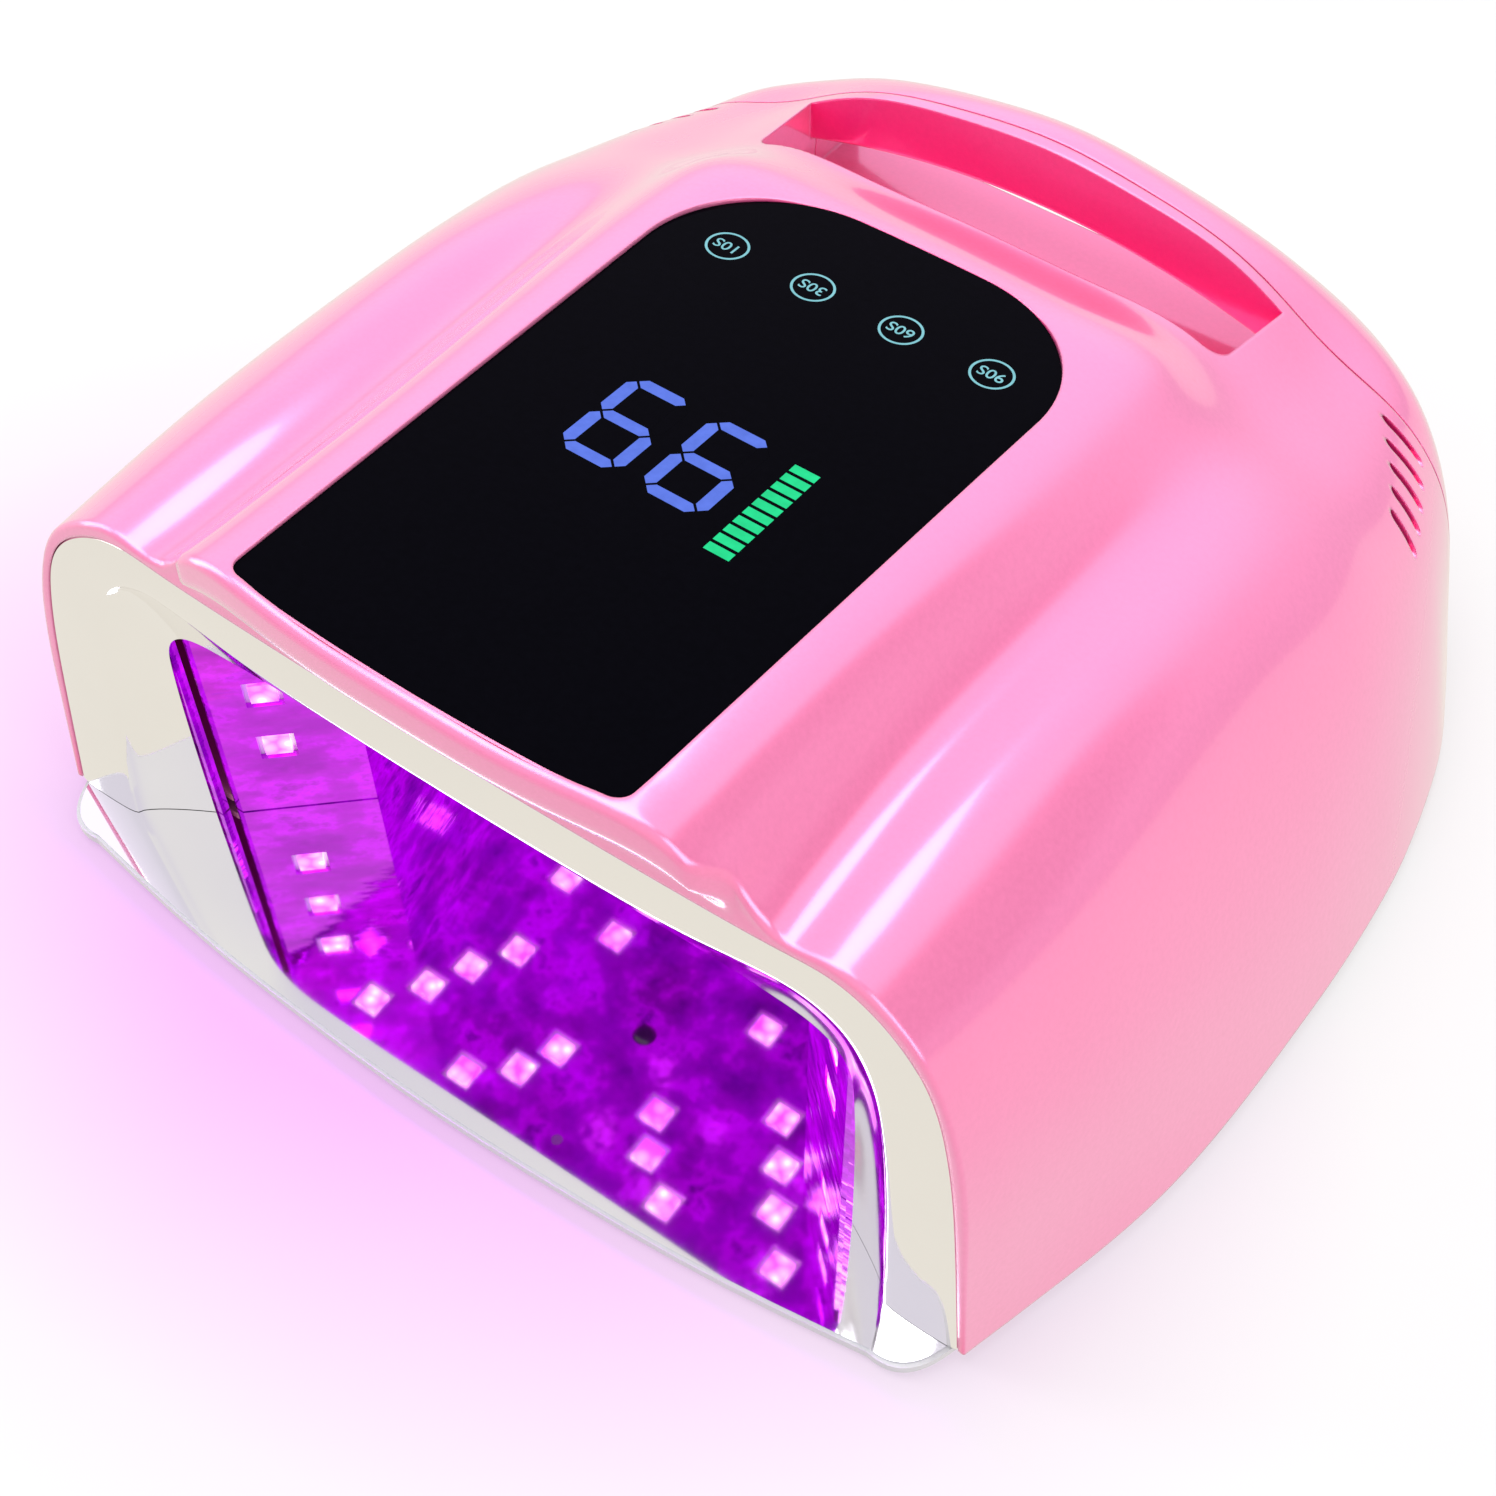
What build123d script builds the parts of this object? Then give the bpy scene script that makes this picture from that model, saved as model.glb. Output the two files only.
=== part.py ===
from build123d import *

from math import cos, radians, sin
import os

# Cordless UV LED nail lamp: arched shell with a carrying handle, chrome front trim,
# faceted reflector, removable mirrored base, touch panel, battery and electronics.

os.makedirs("parts", exist_ok=True)

# ---------------------------------------------------------------- driving dimensions
# Depths are measured back from the trim's foot, heights up from the seam above the base.
FRONT = -94.0              # Y of the trim's foot; the origin is under the footprint's middle
SEAM = 4.0                 # Z of the seam between the body and its base
WALL = 2.4                 # moulded shell wall
STATIONS = 18              # steps of the outer form along its depth
GAP = 0.15                 # assembly clearance between mating parts
REAR_JOINT = 184.0         # depth of the seam between main shell and rear cover
REAR_FACE = 201.5          # depth of the flat rear face
TRIM_LEAN = 0.05           # the trim leans back by this share of its height
BROW_FOOT = 97.5           # height of the underside of the brow over the trim
PLATEAU_FRONT = 105.7      # height of the display plane at its front edge
PLATEAU_TILT = 8.0         # the display plane falls towards the back, degrees
LENS_LENGTH = 136.8
LENS_FRONT_HALF = 37.3
LENS_REAR_HALF = 41.1
LENS_THICK = 2.0
KEY_PITCH = 18.4
KEY_RADIUS = 4.05
KEY_RIM = 0.45
KEY_ROW = 116.4            # distance of the key row from the lens's front edge
DIGIT_HEIGHT = 22.4
DIGIT_WIDTH = 12.6
DIGIT_STROKE = 2.4
DIGIT_LEFT = -18.3         # left edge of the first digit
DIGIT_PITCH = 16.4
DIGIT_ROW = 54.8           # near edge of the digits
BAR_COUNT = 10
BAR_PITCH = 2.62
BAR_SIZE = (4.9, 1.9)
BAR_PLACE = (17.5, 51.0)   # centre of the nearest bar
RECESS_FRONT = 157.5       # depth of the front edge of the handle recess
RECESS_HALF = 52.0
BAR_FRONT = 181.3          # depth of the handle bar's front wall
BAR_UNDER_MID = 64.9       # underside of the bar at the middle and near its ends
BAR_UNDER_END = 56.5
FLOOR_REAR = 45.0          # height of the recess floor where it leaves at the back
BASE_THICK = 2.0
MIRROR_THICK = 0.5
BASE_SPLIT = 138.0         # the removable base ends here, the fixed cover starts
SHADOW = 1.2               # the base stands back from the shell's side by this much
CEILING = 62.8             # inside height of the reflector
REFLECTOR_WALL = 1.2
LED_SIZE = 5.0
LED_WINDOW = 7.0
BOARD = 1.6                # printed circuit board thickness
CELL_RADIUS = 9.2
CELL_LENGTH = 65.0
FOOT_RADIUS = 6.0
FOOT_PROUD = 1.5
SCREW_RADIUS = 1.5
MAGNET_RADIUS = 5.0
MAGNET_THICK = 2.0

# Half outlines of the outer shell, crown first: (half-width, height) at each depth.
SHELL_SECTIONS = {
    0: [(0, 106.1), (26, 105.9), (43, 105.3), (52.2, 96.8), (61.5, 87.4), (70.5, 88.6),
        (79.6, 85.2), (86.8, 78.6), (91.8, 69.3), (96.6, 53.3), (100.2, 25.3), (102.8, 0)],
    45: [(0, 99.6), (26, 99.5), (44.5, 99), (52.4, 91.9), (60.6, 85.4), (70, 86.7), (79.8, 83.5),
         (89.6, 75.7), (97.8, 63), (105.8, 42.1), (111.6, 17.2), (115.4, 0)],
    95: [(0, 92.6), (26, 92.5), (46.5, 92.1), (54.6, 86), (62.3, 80.4), (71.7, 80.7),
         (82.4, 77.2), (92.6, 67.7), (101.1, 54.1), (110.4, 32.3), (116.4, 12.4), (119.4, 0)],
    125: [(0, 88.4), (26, 88.3), (47, 87.6), (55.6, 81.8), (63.9, 76.8), (73.1, 74.5),
          (83.5, 70.1), (94, 61.4), (102.4, 48.6), (110.3, 29), (115.8, 11.7), (119, 0)],
    139: [(0, 86.5), (26, 86.3), (46.5, 85), (55.6, 78.4), (64.4, 73), (73.7, 69.7), (84, 65.4),
          (94, 57.6), (101.8, 45.8), (109.2, 27.4), (114.2, 11.1), (117.2, 0)],
    150: [(0, 80.8), (26, 80.4), (45.5, 78.6), (55.1, 73.2), (64.4, 68.6), (74, 65.2),
          (84.1, 61.1), (93.6, 53.8), (100.9, 42.9), (107.6, 25.8), (112.3, 10.5), (115.1, 0)],
    160: [(0, 75.8), (25, 75.5), (43, 74.8), (54, 70.3), (63.5, 65.6), (73.3, 62.1),
          (83.2, 58.3), (92.2, 51.4), (99, 41), (105.4, 25.1), (109.8, 10.4), (112.6, 0)],
    172: [(0, 78), (24, 76.6), (42, 73.8), (53.3, 68), (62.5, 62.6), (71.8, 58.6), (80.8, 55.2),
          (89, 49.6), (95.3, 40.4), (100.9, 24.8), (104.8, 10.2), (107.5, 0)],
    186: [(0, 80.3), (20, 77.9), (36.5, 73.9), (49.2, 67.8), (58.6, 61.6), (67.8, 56.8),
          (77, 52.4), (84.8, 46), (91, 37.6), (96, 23.6), (99, 9.9), (101.2, 0)],
    195: [(0, 76.6), (19, 74.6), (35.5, 71.2), (48, 67.4), (58.8, 62), (68.2, 56.8),
          (76.6, 51.2), (82.8, 44), (87, 34.8), (90.4, 21.6), (92.3, 9.1), (93.8, 0)],
    REAR_FACE: [(0, 67.6), (17.5, 66.4), (32, 64), (44.5, 60.8), (55.5, 56.6), (64.8, 51.6),
                (72, 45.6), (76.4, 38.2), (79.4, 29.2), (81.8, 18.4), (83, 7.8), (83.8, 0)],
}
# Half outlines of the chrome trim, crown first.
TRIM_OUTER = [(0, 83), (26, 83.4), (48, 84.2), (61.5, 85.2), (71.2, 85.6), (80.2, 81.5),
              (87.4, 73.8), (92.9, 59.3), (97.6, 31.4), (101.4, 0)]
TRIM_INNER = [(0, 72), (26, 72.4), (46, 74), (58, 76.3), (66, 76.6), (73, 73.6), (78, 66.5),
              (81.5, 54), (84.4, 30), (86.4, 0)]
TRIM_MOUTH = [(0, 61.2), (26, 61.4), (46, 61.7), (58, 61.2), (66.6, 59.2), (71, 54.6),
              (72.9, 46), (73.6, 33), (74, 17), (74.2, 0)]
TRIM_BAND = 3.0            # thickness of the trim's front band
MOUTH_DEPTH = 9.0          # the trim's flare meets the reflector here
# Half plan of the reflector, from its mouth to its back wall: (half-width, depth).
REFLECTOR_PLAN = [(74.6, MOUTH_DEPTH + 0.3), (52, 30), (56, 60), (56, 104), (42, 119)]
# Half plan of the base's front lip, from the middle outwards: (half-width, depth).
LIP_PLAN = [(0, -15.8), (30, -14.9), (56, -13.1), (76, -10.6), (89, -8.6)]
LIP_CORNER = [(96.5, -6.6), (99.8, -1.2)]
# Places of the ultraviolet emitters in the reflector's ceiling: (x, depth), one side.
CEILING_LEDS = [(13, 31), (17, 22.5), (26, 15.5), (35, 45), (41, 36), (45.5, 27), (53, 17.5),
                (20, 60), (38, 66), (14, 84), (36, 92)]
SIDE_LED_HEIGHTS = [20.0, 36.0, 52.0]
SIDE_BOARD = (22.0, 46.0)  # width and height of the boards behind the angled side walls
VENT_COUNT = 5
VENT_WIDTH = 1.9
VENT_PITCH = 5.2
VENT_FIRST = 159.0
VENT_TOP = 54.8
VENT_LOW = 46.6


# ---------------------------------------------------------------- placing helpers
def across(depth):
    """Upright plane facing backwards at a depth; its local axes are (-X, Z)."""
    return Plane(origin=(0, FRONT + depth, SEAM), x_dir=(-1, 0, 0), z_dir=(0, 1, 0))


def leaning(depth):
    """Plane of the leaning trim, moved back by a depth; its local axes are (-X, up)."""
    return Plane(origin=(0, FRONT + depth, SEAM), x_dir=(-1, 0, 0), z_dir=(0, 1, -TRIM_LEAN))


def level(height):
    """Horizontal plane at a height above the seam, its origin at the trim's foot."""
    return Plane(origin=(0, FRONT, SEAM + height), x_dir=(1, 0, 0), z_dir=(0, 0, 1))


def side(offset):
    """Upright plane facing +X; its local axes are (depth, height)."""
    return Plane(origin=(offset, FRONT, SEAM), x_dir=(0, 1, 0), z_dir=(1, 0, 0))


def panel(sink=0.0):
    """Plane of the touch panel, sunk below the lens's top face; y runs back along it."""
    fall = radians(PLATEAU_TILT)
    normal = Vector(0, sin(fall), cos(fall))
    top = Vector(0, FRONT + 0.7, SEAM + PLATEAU_FRONT)
    return Plane(origin=top - normal * sink, x_dir=(1, 0, 0), z_dir=normal)


def both_sides(half):
    """Full outline from a half outline whose first point lies on the middle line."""
    start = 1 if half[0][0] == 0 else 0
    return [(-x, z) for x, z in reversed(half)] + list(half[start:])


def inset(half, wall):
    """Half outline moved inwards by a wall, measured square to the curve."""
    moved = []
    for index, (x, z) in enumerate(half):
        x0, z0 = half[max(index - 1, 0)]
        x1, z1 = half[min(index + 1, len(half) - 1)]
        along = Vector(x1 - x0, z1 - z0) if index else Vector(1, 0)
        square = Vector(along.Y, -along.X).normalized() * wall
        moved.append((x + square.X if index else 0, z + square.Y))
    return moved


def section(depth):
    """Half outline of the outer shell at any depth, eased between the given ones."""
    keys = sorted(SHELL_SECTIONS)
    spot = max(place for place, key in enumerate(keys[:-1]) if key <= depth)
    ends = [keys[max(spot - 1, 0)], keys[spot], keys[spot + 1], keys[min(spot + 2, len(keys) - 1)]]
    span = ends[2] - ends[1]
    t = (depth - ends[1]) / span
    half = []
    for before, start, end, after in zip(*[SHELL_SECTIONS[key] for key in ends]):
        point = []
        for axis in (0, 1):
            leave = (end[axis] - before[axis]) / (ends[2] - ends[0]) * span
            arrive = (after[axis] - start[axis]) / (ends[3] - ends[1]) * span
            point.append((2 * t**3 - 3 * t**2 + 1) * start[axis] + (t**3 - 2 * t**2 + t) * leave
                         + (3 * t**2 - 2 * t**3) * end[axis] + (t**3 - t**2) * arrive)
        half.append(tuple(point))
    return half


def arch(place, half, below=0.0):
    """Closed arch face on a plane, from its half outline, reaching below the seam."""
    outline = both_sides(half)
    left, right = outline[0], outline[-1]
    with BuildSketch(place, mode=Mode.PRIVATE) as face:
        with BuildLine():
            Spline(*outline)
            if below:
                Polyline(right, (right[0], -below), (left[0], -below), left)
            else:
                Line(right, left)
        make_face()
    return face.sketch


# ---------------------------------------------------------------- the outer form
RIM_REACH = 130.0

with BuildPart() as outer_form:
    for station in range(STATIONS + 1):
        depth = REAR_FACE * station / STATIONS
        with BuildSketch(across(depth)):
            outline = both_sides(section(depth))
            with BuildLine():
                Spline(*outline)
                Line(outline[-1], outline[0])
            make_face()
    loft()
    # Under the brow the front leans back with the trim.
    with BuildSketch(side(-RIM_REACH)):
        with BuildLine():
            Polyline((-2, -2), (-2 * TRIM_LEAN, -2), (BROW_FOOT * TRIM_LEAN, BROW_FOOT),
                     (-2, BROW_FOOT), (-2, -2))
        make_face()
    extrude(amount=2 * RIM_REACH, mode=Mode.SUBTRACT)
    # Bowed brow of the plateau, standing proud of the trim.
    with BuildSketch(level(BROW_FOOT)):
        with BuildLine():
            ThreePointArc((-46, 0.6), (0, -3.6), (46, 0.6))
            Polyline((46, 0.6), (46, 4), (-46, 4), (-46, 0.6))
        make_face()
    extrude(amount=8.2)

with BuildPart() as inner_form:
    lip = BROW_FOOT * TRIM_LEAN + WALL + 0.2
    for station in range(STATIONS + 1):
        share = station / STATIONS
        depth = lip + (REAR_FACE - WALL - lip) * share
        with BuildSketch(across(depth)):
            outline = both_sides(inset(section(depth + 0.5 * WALL * share), WALL))
            left, right = outline[0], outline[-1]
            with BuildLine():
                Spline(*outline)
                Polyline(right, (right[0], -1.0), (left[0], -1.0), left)
            make_face()
    loft()


def grip_void(grow):
    """Space of the hand grip: the recess and the gap under the bar, grown by a wall."""
    with BuildPart(mode=Mode.PRIVATE) as void:
        with BuildSketch(side(-RECESS_HALF - grow)):
            front = RECESS_FRONT - grow
            rear = REAR_FACE + 12
            low = FLOOR_REAR - grow
            with BuildLine():
                Line((front, 120), (front, 71))
                ThreePointArc((front, 71), (167 - grow * 0.7, 49 - grow * 0.7), (188, low + 1.5))
                Polyline((188, low + 1.5), (rear, low), (rear, 120), (front, 120))
            make_face()
        extrude(amount=2 * (RECESS_HALF + grow))
        # The bar itself stays.
        with BuildSketch(across(BAR_FRONT + grow)):
            reach = RECESS_HALF + grow + 1
            end = BAR_UNDER_END + grow
            with BuildLine():
                ThreePointArc((-reach, end), (0, BAR_UNDER_MID + grow), (reach, end))
                Polyline((reach, end), (reach, 121), (-reach, 121), (-reach, end))
            make_face()
        extrude(amount=60, mode=Mode.SUBTRACT)
    return void.part


hollow = inner_form.part - grip_void(WALL)

with BuildPart() as whole_shell:
    add(outer_form.part)
    add(grip_void(0.0), mode=Mode.SUBTRACT)
    add(hollow, mode=Mode.SUBTRACT)


# ---------------------------------------------------------------- lens and glowing marks
def lens_outline(grow=0.0):
    """Outline of the touch panel's lens on the panel plane, grown or shrunk."""
    with BuildSketch(mode=Mode.PRIVATE) as outline:
        with BuildLine():
            ThreePointArc((-LENS_FRONT_HALF, 0), (0, -1.7), (LENS_FRONT_HALF, 0))
            Line((LENS_FRONT_HALF, 0), (LENS_REAR_HALF, LENS_LENGTH))
            ThreePointArc((LENS_REAR_HALF, LENS_LENGTH), (0, LENS_LENGTH + 1.8),
                          (-LENS_REAR_HALF, LENS_LENGTH))
            Line((-LENS_REAR_HALF, LENS_LENGTH), (-LENS_FRONT_HALF, 0))
        make_face()
        corners = outline.vertices().sort_by(Axis.Y)
        fillet(corners[-2:], radius=28)
        fillet(outline.vertices().sort_by(Axis.Y)[:2], radius=3)
        if grow:
            offset(amount=grow, kind=Kind.INTERSECTION)
    return outline.sketch


def segment(start, end, width):
    """One pointed stroke of a digit."""
    along = (Vector(*end) - Vector(*start)).normalized()
    square = Vector(-along.Y, along.X) * (width / 2)
    head = Vector(*start) + along * 0.35
    tail = Vector(*end) - along * 0.35
    shoulder = along * (width / 2)
    corners = [head, head + shoulder + square, tail - shoulder + square, tail,
               tail - shoulder - square, head + shoulder - square]
    with BuildSketch(mode=Mode.PRIVATE) as stroke:
        with BuildLine():
            Polyline(*[(corner.X, corner.Y) for corner in corners], close=True)
        make_face()
    return stroke.sketch


def digit_strokes(left):
    """The six lit strokes of one digit and its dark one."""
    inner = DIGIT_STROKE / 2
    low, high = DIGIT_ROW + inner, DIGIT_ROW + DIGIT_HEIGHT - inner
    middle = (low + high) / 2
    near, far = left + inner, left + DIGIT_WIDTH - inner
    lit = [((near, low), (far, low)), ((near, low), (near, middle)), ((near, middle), (near, high)),
           ((near, high), (far, high)), ((near, middle), (far, middle)), ((far, low), (far, middle))]
    return lit, ((far, middle), (far, high))


def mark_faces(kind):
    """Faces of one kind of glowing or printed mark, drawn on the flat."""
    with BuildSketch(mode=Mode.PRIVATE) as marks:
        if kind == "keys":
            with GridLocations(KEY_PITCH, 1, 4, 1):
                with Locations((0, KEY_ROW)):
                    Circle(KEY_RADIUS)
                    Circle(KEY_RADIUS - KEY_RIM, mode=Mode.SUBTRACT)
        if kind == "bars":
            for bar in range(BAR_COUNT):
                with Locations((BAR_PLACE[0], BAR_PLACE[1] + bar * BAR_PITCH)):
                    Rectangle(*BAR_SIZE)
        if kind in ("lit", "dark"):
            for number in range(2):
                lit, dark = digit_strokes(DIGIT_LEFT + number * DIGIT_PITCH)
                for start, end in lit if kind == "lit" else [dark]:
                    add(segment(start, end, DIGIT_STROKE))
    return marks.sketch


MARK_DEPTH = 0.5
MARK_CLEAR = 0.02


def light_guides(kind):
    """Thin light guides let into the lens's top face, flush with it."""
    with BuildPart() as guides:
        with BuildSketch(panel(MARK_DEPTH)):
            add(mark_faces(kind))
        extrude(amount=MARK_DEPTH)
    return guides


digit_segments = light_guides("lit")
digit_segments.part.label = "digit_segments"
export_step(digit_segments.part, "parts/digit_segments.step")

digit_segments_dark = light_guides("dark")
digit_segments_dark.part.label = "digit_segments_dark"
export_step(digit_segments_dark.part, "parts/digit_segments_dark.step")

charge_bars = light_guides("bars")
charge_bars.part.label = "charge_bars"
export_step(charge_bars.part, "parts/charge_bars.step")

key_rings = light_guides("keys")
key_rings.part.label = "key_rings"
export_step(key_rings.part, "parts/key_rings.step")

with BuildPart() as display_lens:
    with BuildSketch(panel(LENS_THICK)):
        add(lens_outline())
    extrude(amount=LENS_THICK)
    for kind in ("keys", "bars", "lit", "dark"):
        with BuildSketch(panel(MARK_DEPTH + MARK_CLEAR)):
            add(mark_faces(kind))
            offset(amount=MARK_CLEAR, kind=Kind.INTERSECTION)
        extrude(amount=MARK_DEPTH + 1, mode=Mode.SUBTRACT)
display_lens.part.label = "display_lens"
export_step(display_lens.part, "parts/display_lens.step")

# ---------------------------------------------------------------- main shell
LENS_SEAT = 3.0            # width of the ledge under the lens
BOSS_RADIUS = 3.6
PILOT_RADIUS = 1.2
FRAME_BOSSES = [(100, 42), (101, 96)]        # (x, depth) of the frame's screws, one side
COVER_BOSSES = [(94, 148), (86, 190)]        # the same for the fixed bottom cover
VENT_MIDDLE = (VENT_FIRST + VENT_PITCH * (VENT_COUNT - 1) / 2, (VENT_TOP + VENT_LOW) / 2)


def bosses(places, foot, rise):
    """Screw bosses on both sides, trimmed to the outer form, with pilot holes."""
    with BuildPart(mode=Mode.PRIVATE) as columns:
        with BuildSketch(level(foot)):
            for x, depth in places:
                with Locations((x, depth), (-x, depth)):
                    Circle(BOSS_RADIUS)
        extrude(amount=rise)
        add(outer_form.part, mode=Mode.INTERSECT)
        with BuildSketch(level(foot)):
            for x, depth in places:
                with Locations((x, depth), (-x, depth)):
                    Circle(PILOT_RADIUS)
        extrude(amount=14, mode=Mode.SUBTRACT)
    return columns.part


with BuildPart() as main_shell:
    add(whole_shell.part)
    # Opening that the chrome trim fills.
    extrude(arch(leaning(-6), inset(TRIM_OUTER, -GAP), below=1).face(), amount=6 + lip + 0.2,
            dir=(0, 1, 0), mode=Mode.SUBTRACT)
    # Window through the roof, the ledge that carries the lens and the lens's rebate.
    with BuildSketch(panel(12)):
        add(lens_outline(-LENS_SEAT))
    extrude(amount=20, mode=Mode.SUBTRACT)
    with BuildSketch(panel(LENS_THICK + 3)):
        add(lens_outline(1.5))
        add(lens_outline(-LENS_SEAT), mode=Mode.SUBTRACT)
    extrude(amount=4)
    with BuildSketch(panel(LENS_THICK + 0.1)):
        add(lens_outline(GAP))
    extrude(amount=9, mode=Mode.SUBTRACT)
    # Row of cooling slots in each flank.
    for flank in (1, -1):
        with BuildSketch(side(70 * flank)):
            with Locations(VENT_MIDDLE):
                with GridLocations(VENT_PITCH, 1, VENT_COUNT, 1):
                    SlotOverall(VENT_TOP - VENT_LOW, VENT_WIDTH, rotation=90)
        extrude(amount=45 * flank, mode=Mode.SUBTRACT)
    add(bosses(FRAME_BOSSES, 4.1, 55))
    add(bosses(COVER_BOSSES[:1], 0.0, 55))
    split(bisect_by=across(REAR_JOINT), keep=Keep.BOTTOM)
main_shell.part.label = "main_shell"
export_step(main_shell.part, "parts/main_shell.step")

# ---------------------------------------------------------------- rear cover with the bar
JACK_PLACE = (24.0, 17.0)            # (x, height) of the charging socket
SWITCH_PLACE = (-24.0, 17.0)
JACK_HOLE = 4.1
SWITCH_HOLE = (9.2, 14.2)

with BuildPart() as rear_cover:
    add(whole_shell.part)
    add(bosses(COVER_BOSSES[1:], 0.0, 30))
    split(bisect_by=across(REAR_JOINT + GAP), keep=Keep.TOP)
    with BuildSketch(across(REAR_FACE - 6)):
        with Locations((-JACK_PLACE[0], JACK_PLACE[1])):
            Circle(JACK_HOLE)
        with Locations((-SWITCH_PLACE[0], SWITCH_PLACE[1])):
            Rectangle(*SWITCH_HOLE)
    extrude(amount=10, mode=Mode.SUBTRACT)
rear_cover.part.label = "rear_cover"
export_step(rear_cover.part, "parts/rear_cover.step")

# ---------------------------------------------------------------- chrome front trim
FLARE_WALL = 1.5

with BuildPart() as front_trim:
    extrude(arch(leaning(0), TRIM_OUTER).face(), amount=TRIM_BAND, dir=(0, 1, 0))
    loft([arch(leaning(1), inset(TRIM_INNER, -FLARE_WALL)).face(),
          arch(across(MOUTH_DEPTH), inset(TRIM_MOUTH, -FLARE_WALL)).face()])
    loft([arch(leaning(-0.5), inset(TRIM_INNER, -0.4), below=2).face(),
          arch(across(MOUTH_DEPTH + 0.5), inset(TRIM_MOUTH, 0.4), below=2).face()], mode=Mode.SUBTRACT)
front_trim.part.label = "front_trim"
export_step(front_trim.part, "parts/front_trim.step")

# ---------------------------------------------------------------- reflector and emitters


def plan(half):
    """Closed plan polygon on a level plane from its half plan."""
    mirrored = [(-x, y) for x, y in reversed(half)]
    with BuildSketch(mode=Mode.PRIVATE) as face:
        with BuildLine():
            Polyline(*half, *mirrored, close=True)
        make_face()
    return face.sketch


def flanks(places):
    """Places on both sides of the middle."""
    return [(x * flank, depth) for x, depth in places for flank in (1, -1)]


def side_wall(flank, out=0.0):
    """Plane on the outside of an angled reflector wall; x runs along it, y is up."""
    (x0, y0), (x1, y1) = REFLECTOR_PLAN[:2]
    along = Vector(x1 - x0, y1 - y0).normalized()
    square = Vector(along.Y, -along.X)
    spot = Vector((x0 + x1) / 2, (y0 + y1) / 2) + square * out
    return Plane(origin=(spot.X * flank, FRONT + spot.Y, SEAM),
                 x_dir=(along.X, along.Y * flank, 0), z_dir=(square.X * flank, square.Y, 0))


LED_BOARD_SCREWS = [(28, 97), (-28, 97), (0, 14), (0, 70)]

with BuildPart() as reflector:
    with BuildSketch(level(0.2)):
        add(plan(REFLECTOR_PLAN))
    extrude(amount=CEILING + REFLECTOR_WALL - 0.2)
    with BuildSketch(level(-1)):
        add(plan(REFLECTOR_PLAN))
        offset(amount=-REFLECTOR_WALL, kind=Kind.INTERSECTION)
        with Locations((0, MOUTH_DEPTH)):
            Rectangle(2 * 72.6, 6)
    extrude(amount=CEILING + 1, mode=Mode.SUBTRACT)
    with BuildSketch(level(CEILING - 1)):
        with Locations(*flanks(CEILING_LEDS)):
            Rectangle(LED_WINDOW, LED_WINDOW)
        with Locations((0, 44)):
            Circle(2.6)
        with Locations(*LED_BOARD_SCREWS):
            Circle(PILOT_RADIUS)
    extrude(amount=5, mode=Mode.SUBTRACT)
    for flank in (1, -1):
        with BuildSketch(side_wall(flank, -3)):
            with Locations(*[(0, height) for height in SIDE_LED_HEIGHTS]):
                Rectangle(LED_WINDOW, LED_WINDOW)
        extrude(amount=5, mode=Mode.SUBTRACT)
reflector.part.label = "reflector"
export_step(reflector.part, "parts/reflector.step")

with BuildPart() as ceiling_led_board:
    with BuildSketch(level(CEILING + REFLECTOR_WALL + 0.1)):
        with Locations((0, 57)):
            RectangleRounded(94, 84, 4)
        with Locations((0, 20)):
            RectangleRounded(122, 22, 4)
        with Locations((0, 44)):
            Circle(3, mode=Mode.SUBTRACT)
        with Locations(*LED_BOARD_SCREWS):
            Circle(1.7, mode=Mode.SUBTRACT)
    extrude(amount=BOARD)
ceiling_led_board.part.label = "ceiling_led_board"
export_step(ceiling_led_board.part, "parts/ceiling_led_board.step")

with BuildPart() as ceiling_leds:
    with BuildSketch(level(CEILING + 0.2)):
        with Locations(*flanks(CEILING_LEDS)):
            Rectangle(LED_SIZE, LED_SIZE)
    extrude(amount=REFLECTOR_WALL - 0.12)
ceiling_leds.part.label = "ceiling_leds"
export_step(ceiling_leds.part, "parts/ceiling_leds.step")

with BuildPart() as side_led_boards:
    for flank in (1, -1):
        with BuildSketch(side_wall(flank, 0.1)):
            with Locations((0, sum(SIDE_LED_HEIGHTS) / 3)):
                Rectangle(*SIDE_BOARD)
        extrude(amount=BOARD)
side_led_boards.part.label = "side_led_boards"
export_step(side_led_boards.part, "parts/side_led_boards.step")

with BuildPart() as side_leds:
    for flank in (1, -1):
        with BuildSketch(side_wall(flank, 0.08 - REFLECTOR_WALL)):
            with Locations(*[(0, height) for height in SIDE_LED_HEIGHTS]):
                Rectangle(LED_SIZE, LED_SIZE)
        extrude(amount=REFLECTOR_WALL)
side_leds.part.label = "side_leds"
export_step(side_leds.part, "parts/side_leds.step")

with BuildPart() as hand_sensor:
    # Infrared emitter and receiver, side by side, looking down into the cavity.
    with BuildSketch(level(CEILING - 0.6)):
        with Locations((0, 44)):
            Circle(2.4)
    extrude(amount=6)
    fillet(hand_sensor.faces().sort_by(Axis.Z)[0].edges(), radius=1.2)
hand_sensor.part.label = "hand_sensor"
export_step(hand_sensor.part, "parts/hand_sensor.step")

# ---------------------------------------------------------------- bottom: frame, cover, base


def footprint(first, last, stand_in, steps=9):
    """Plan polygon points of the shell's right flank between two depths, moved inwards."""
    depths = [first + (last - first) * step / steps for step in range(steps + 1)]
    return [(section(depth)[-1][0] - stand_in, depth) for depth in depths]


FRAME_THICK = 2.0
FRAME_LOW = 2.0            # the frame stands this far above the seam

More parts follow.
